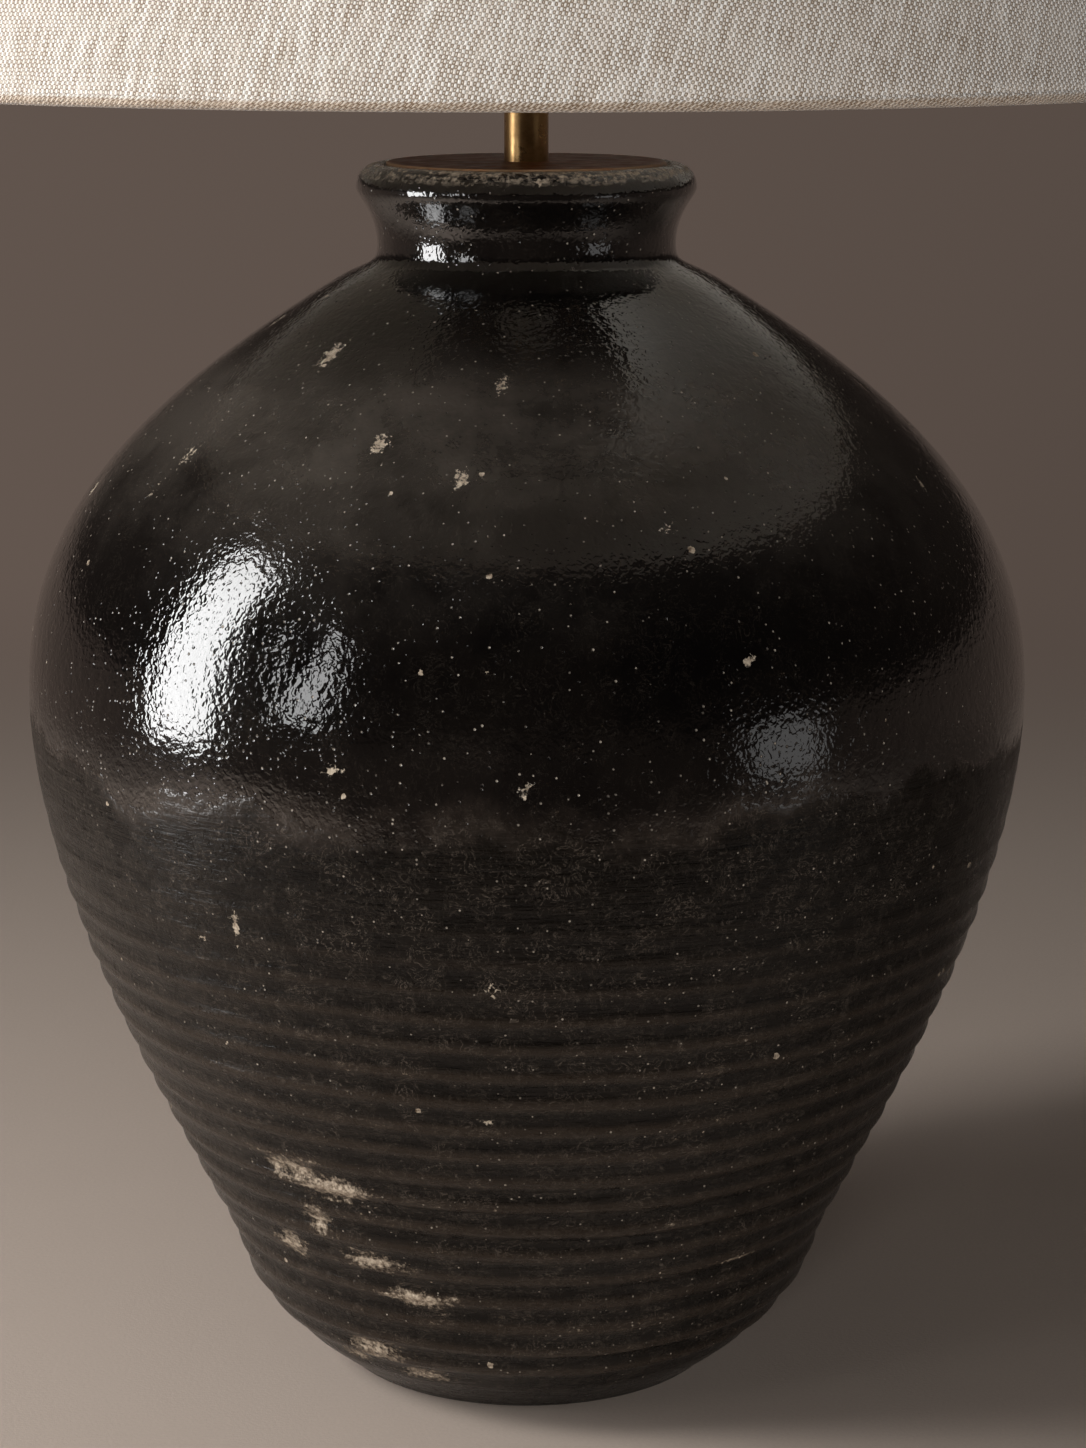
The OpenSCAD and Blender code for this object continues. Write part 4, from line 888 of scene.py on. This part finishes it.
def room_level(add, direction):
    """How bright the room is in a direction: brighter at the left and behind the object, dim in front."""
    part = add("SeparateXYZ", {0: direction})
    across = add("MapRange", {0: part.outputs["X"], 1: -0.25, 2: 0.25, 3: 1.15, 4: 0.85})
    ahead = add("MapRange", {0: part.outputs["Y"], 1: -0.9, 2: 0.3, 3: 0.3, 4: 1.0},
                interpolation_type="SMOOTHSTEP")
    return add("Math", {0: across, 1: ahead}, operation="MULTIPLY")


def paper_floor():
    """Matt seamless paper: close fibres and no gloss. From 0.65 m out, and from 0.32 m in front, it fades
    to the plain shade of a far backdrop, so the neck's gloss mirrors no lit floor."""
    made, add, shader, place = material("matt_paper")
    fibre = add("TexNoise", {"Vector": place, "Scale": 700, "Detail": 4, "Roughness": 0.6})
    tone = add("Mix", {0: fibre, 6: "#bbab9f", 7: "#cabaad"}, data_type="RGBA")
    tooth = add("Bump", {"Height": fibre, "Strength": 0.5, "Distance": 0.2 * MM})
    feed(shader, {"Base Color": tone, "Normal": tooth, "Roughness": 0.9, "Specular IOR Level": 0.2})
    distance = add("VectorMath", {0: place}, operation="LENGTH")
    direction = add("VectorMath", {0: place}, operation="NORMALIZE")
    far = add("Emission", {"Color": ROOM, "Strength": room_level(add, direction)})
    share = add("MapRange", {0: distance, 1: 0.65, 2: 1.7}, interpolation_type="SMOOTHSTEP")
    depth = add("SeparateXYZ", {0: place}).outputs["Y"]
    front = add("MapRange", {0: depth, 1: -0.8, 2: -0.32, 3: 1.0, 4: 0.0},
                interpolation_type="SMOOTHSTEP")
    share = add("Math", {0: share, 1: front}, operation="MAXIMUM")
    mixed = add("MixShader", {0: share, 1: shader, 2: far})
    feed(made.node_tree.nodes["Material Output"], {"Surface": mixed})
    return made


def make_studio():
    """A pale floor, a tall window of light and a dimmer pane at the left, a small softbox at the right
    and a weak lamp above. Two more lamps, high at the left and low in front, fill the cloth, the floor
    and the satin wall, and the gloss mirrors neither of them."""
    half = 60.0
    corners = [(-half, -half, 0), (half, -half, 0), (half, half, 0), (-half, half, 0)]
    mesh = bpy.data.meshes.new("floor")
    mesh.from_pydata(corners, [], [(0, 1, 2, 3)])
    floor = bpy.data.objects.new("floor", mesh)
    bpy.context.scene.collection.objects.link(floor)
    mesh.materials.append(paper_floor())
    softbox("window_left", (-0.95, -0.25, 0.62), 0.28, 0.9, (0, -0.25, 0.62), 8.8)
    softbox("window_left_pane", (-0.95, -0.88, 0.60), 0.2, 0.5, (0, -0.6, 0.5), 3.6)
    softbox("window_right", (0.95, -0.70, 0.19), 0.32, 0.26, (0, -0.2, 0.25), 0.6)
    softbox("overhead", (-0.9, -1.0, 3.2), 1.4, 1.0, (0, -0.1, 0.6), 0.6)
    softbox("high_left", (-1.7, -0.6, 1.5), 0.6, 0.6, (0, -0.1, 0.3), 16.5, mirrored=False)
    softbox("fill_front", (-0.15, -2.35, 0.44), 1.4, 0.2, (0, 0, 0.6), 37.0, mirrored=False)


def make_room():
    """The world: the room's shade at the horizon, dimming to a fifth of it 7 degrees up."""
    world = bpy.data.worlds.new("room")
    bpy.context.scene.world = world
    world.use_nodes = True
    add = partial(add_node, world.node_tree)
    direction = add("TexCoord").outputs["Generated"]
    up = add("SeparateXYZ", {0: direction}).outputs["Z"]
    level = add("MapRange", {0: up, 1: 0.0, 2: 0.12, 3: 1.0, 4: 0.2}, interpolation_type="SMOOTHSTEP")
    level = add("Math", {0: level, 1: room_level(add, direction)}, operation="MULTIPLY")
    feed(world.node_tree.nodes["Background"], {"Color": ROOM, "Strength": level})


def make_camera():
    """The photograph's place and lens: 1.24 m in front, a little above the jar's lip, looking down. The
    lens is the photograph's focal length, 3400 px, on a frame 36 mm or 1448 px high."""
    data = bpy.data.cameras.new("camera")
    data.sensor_width, data.lens = 36, 84.53
    camera = bpy.data.objects.new("camera", data)
    camera.location = (0, -1.242, 0.5275)
    camera.rotation_euler = np.radians((77.12, 0, -0.278))
    bpy.context.scene.collection.objects.link(camera)
    bpy.context.scene.camera = camera
    bpy.context.scene.view_settings.view_transform = "Standard"


make_camera()
make_studio()
make_room()
FINISHES = finishes()
dress_cad_nodes()

jar_body = make_jar()
dress(jar_body, "jar_glaze", "lamp_body")
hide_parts("jar")

linen_seam = make_linen_seam()
dress(linen_seam, "linen", "shade")
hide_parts("shade_seam")
linen_cover, linen_flat, linen_area = make_linen_cover()
dress(linen_cover, "linen", "shade")
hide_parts("shade_cover")

harp_wire = make_harp_wire()
dress(harp_wire, "aged_brass", "lamp_body")
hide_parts("harp_bow")
dress(make_harp_crown(), "aged_brass", "lamp_body")
spider_hub, spider_arms = make_spider()
for piece in (spider_hub, *spider_arms):
    dress(piece, "aged_brass", "shade")
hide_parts("shade_spider")

bulb_screw = make_bulb_screw()
dress(bulb_screw, "bulb_aluminium", "bulb")
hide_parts("bulb_base")
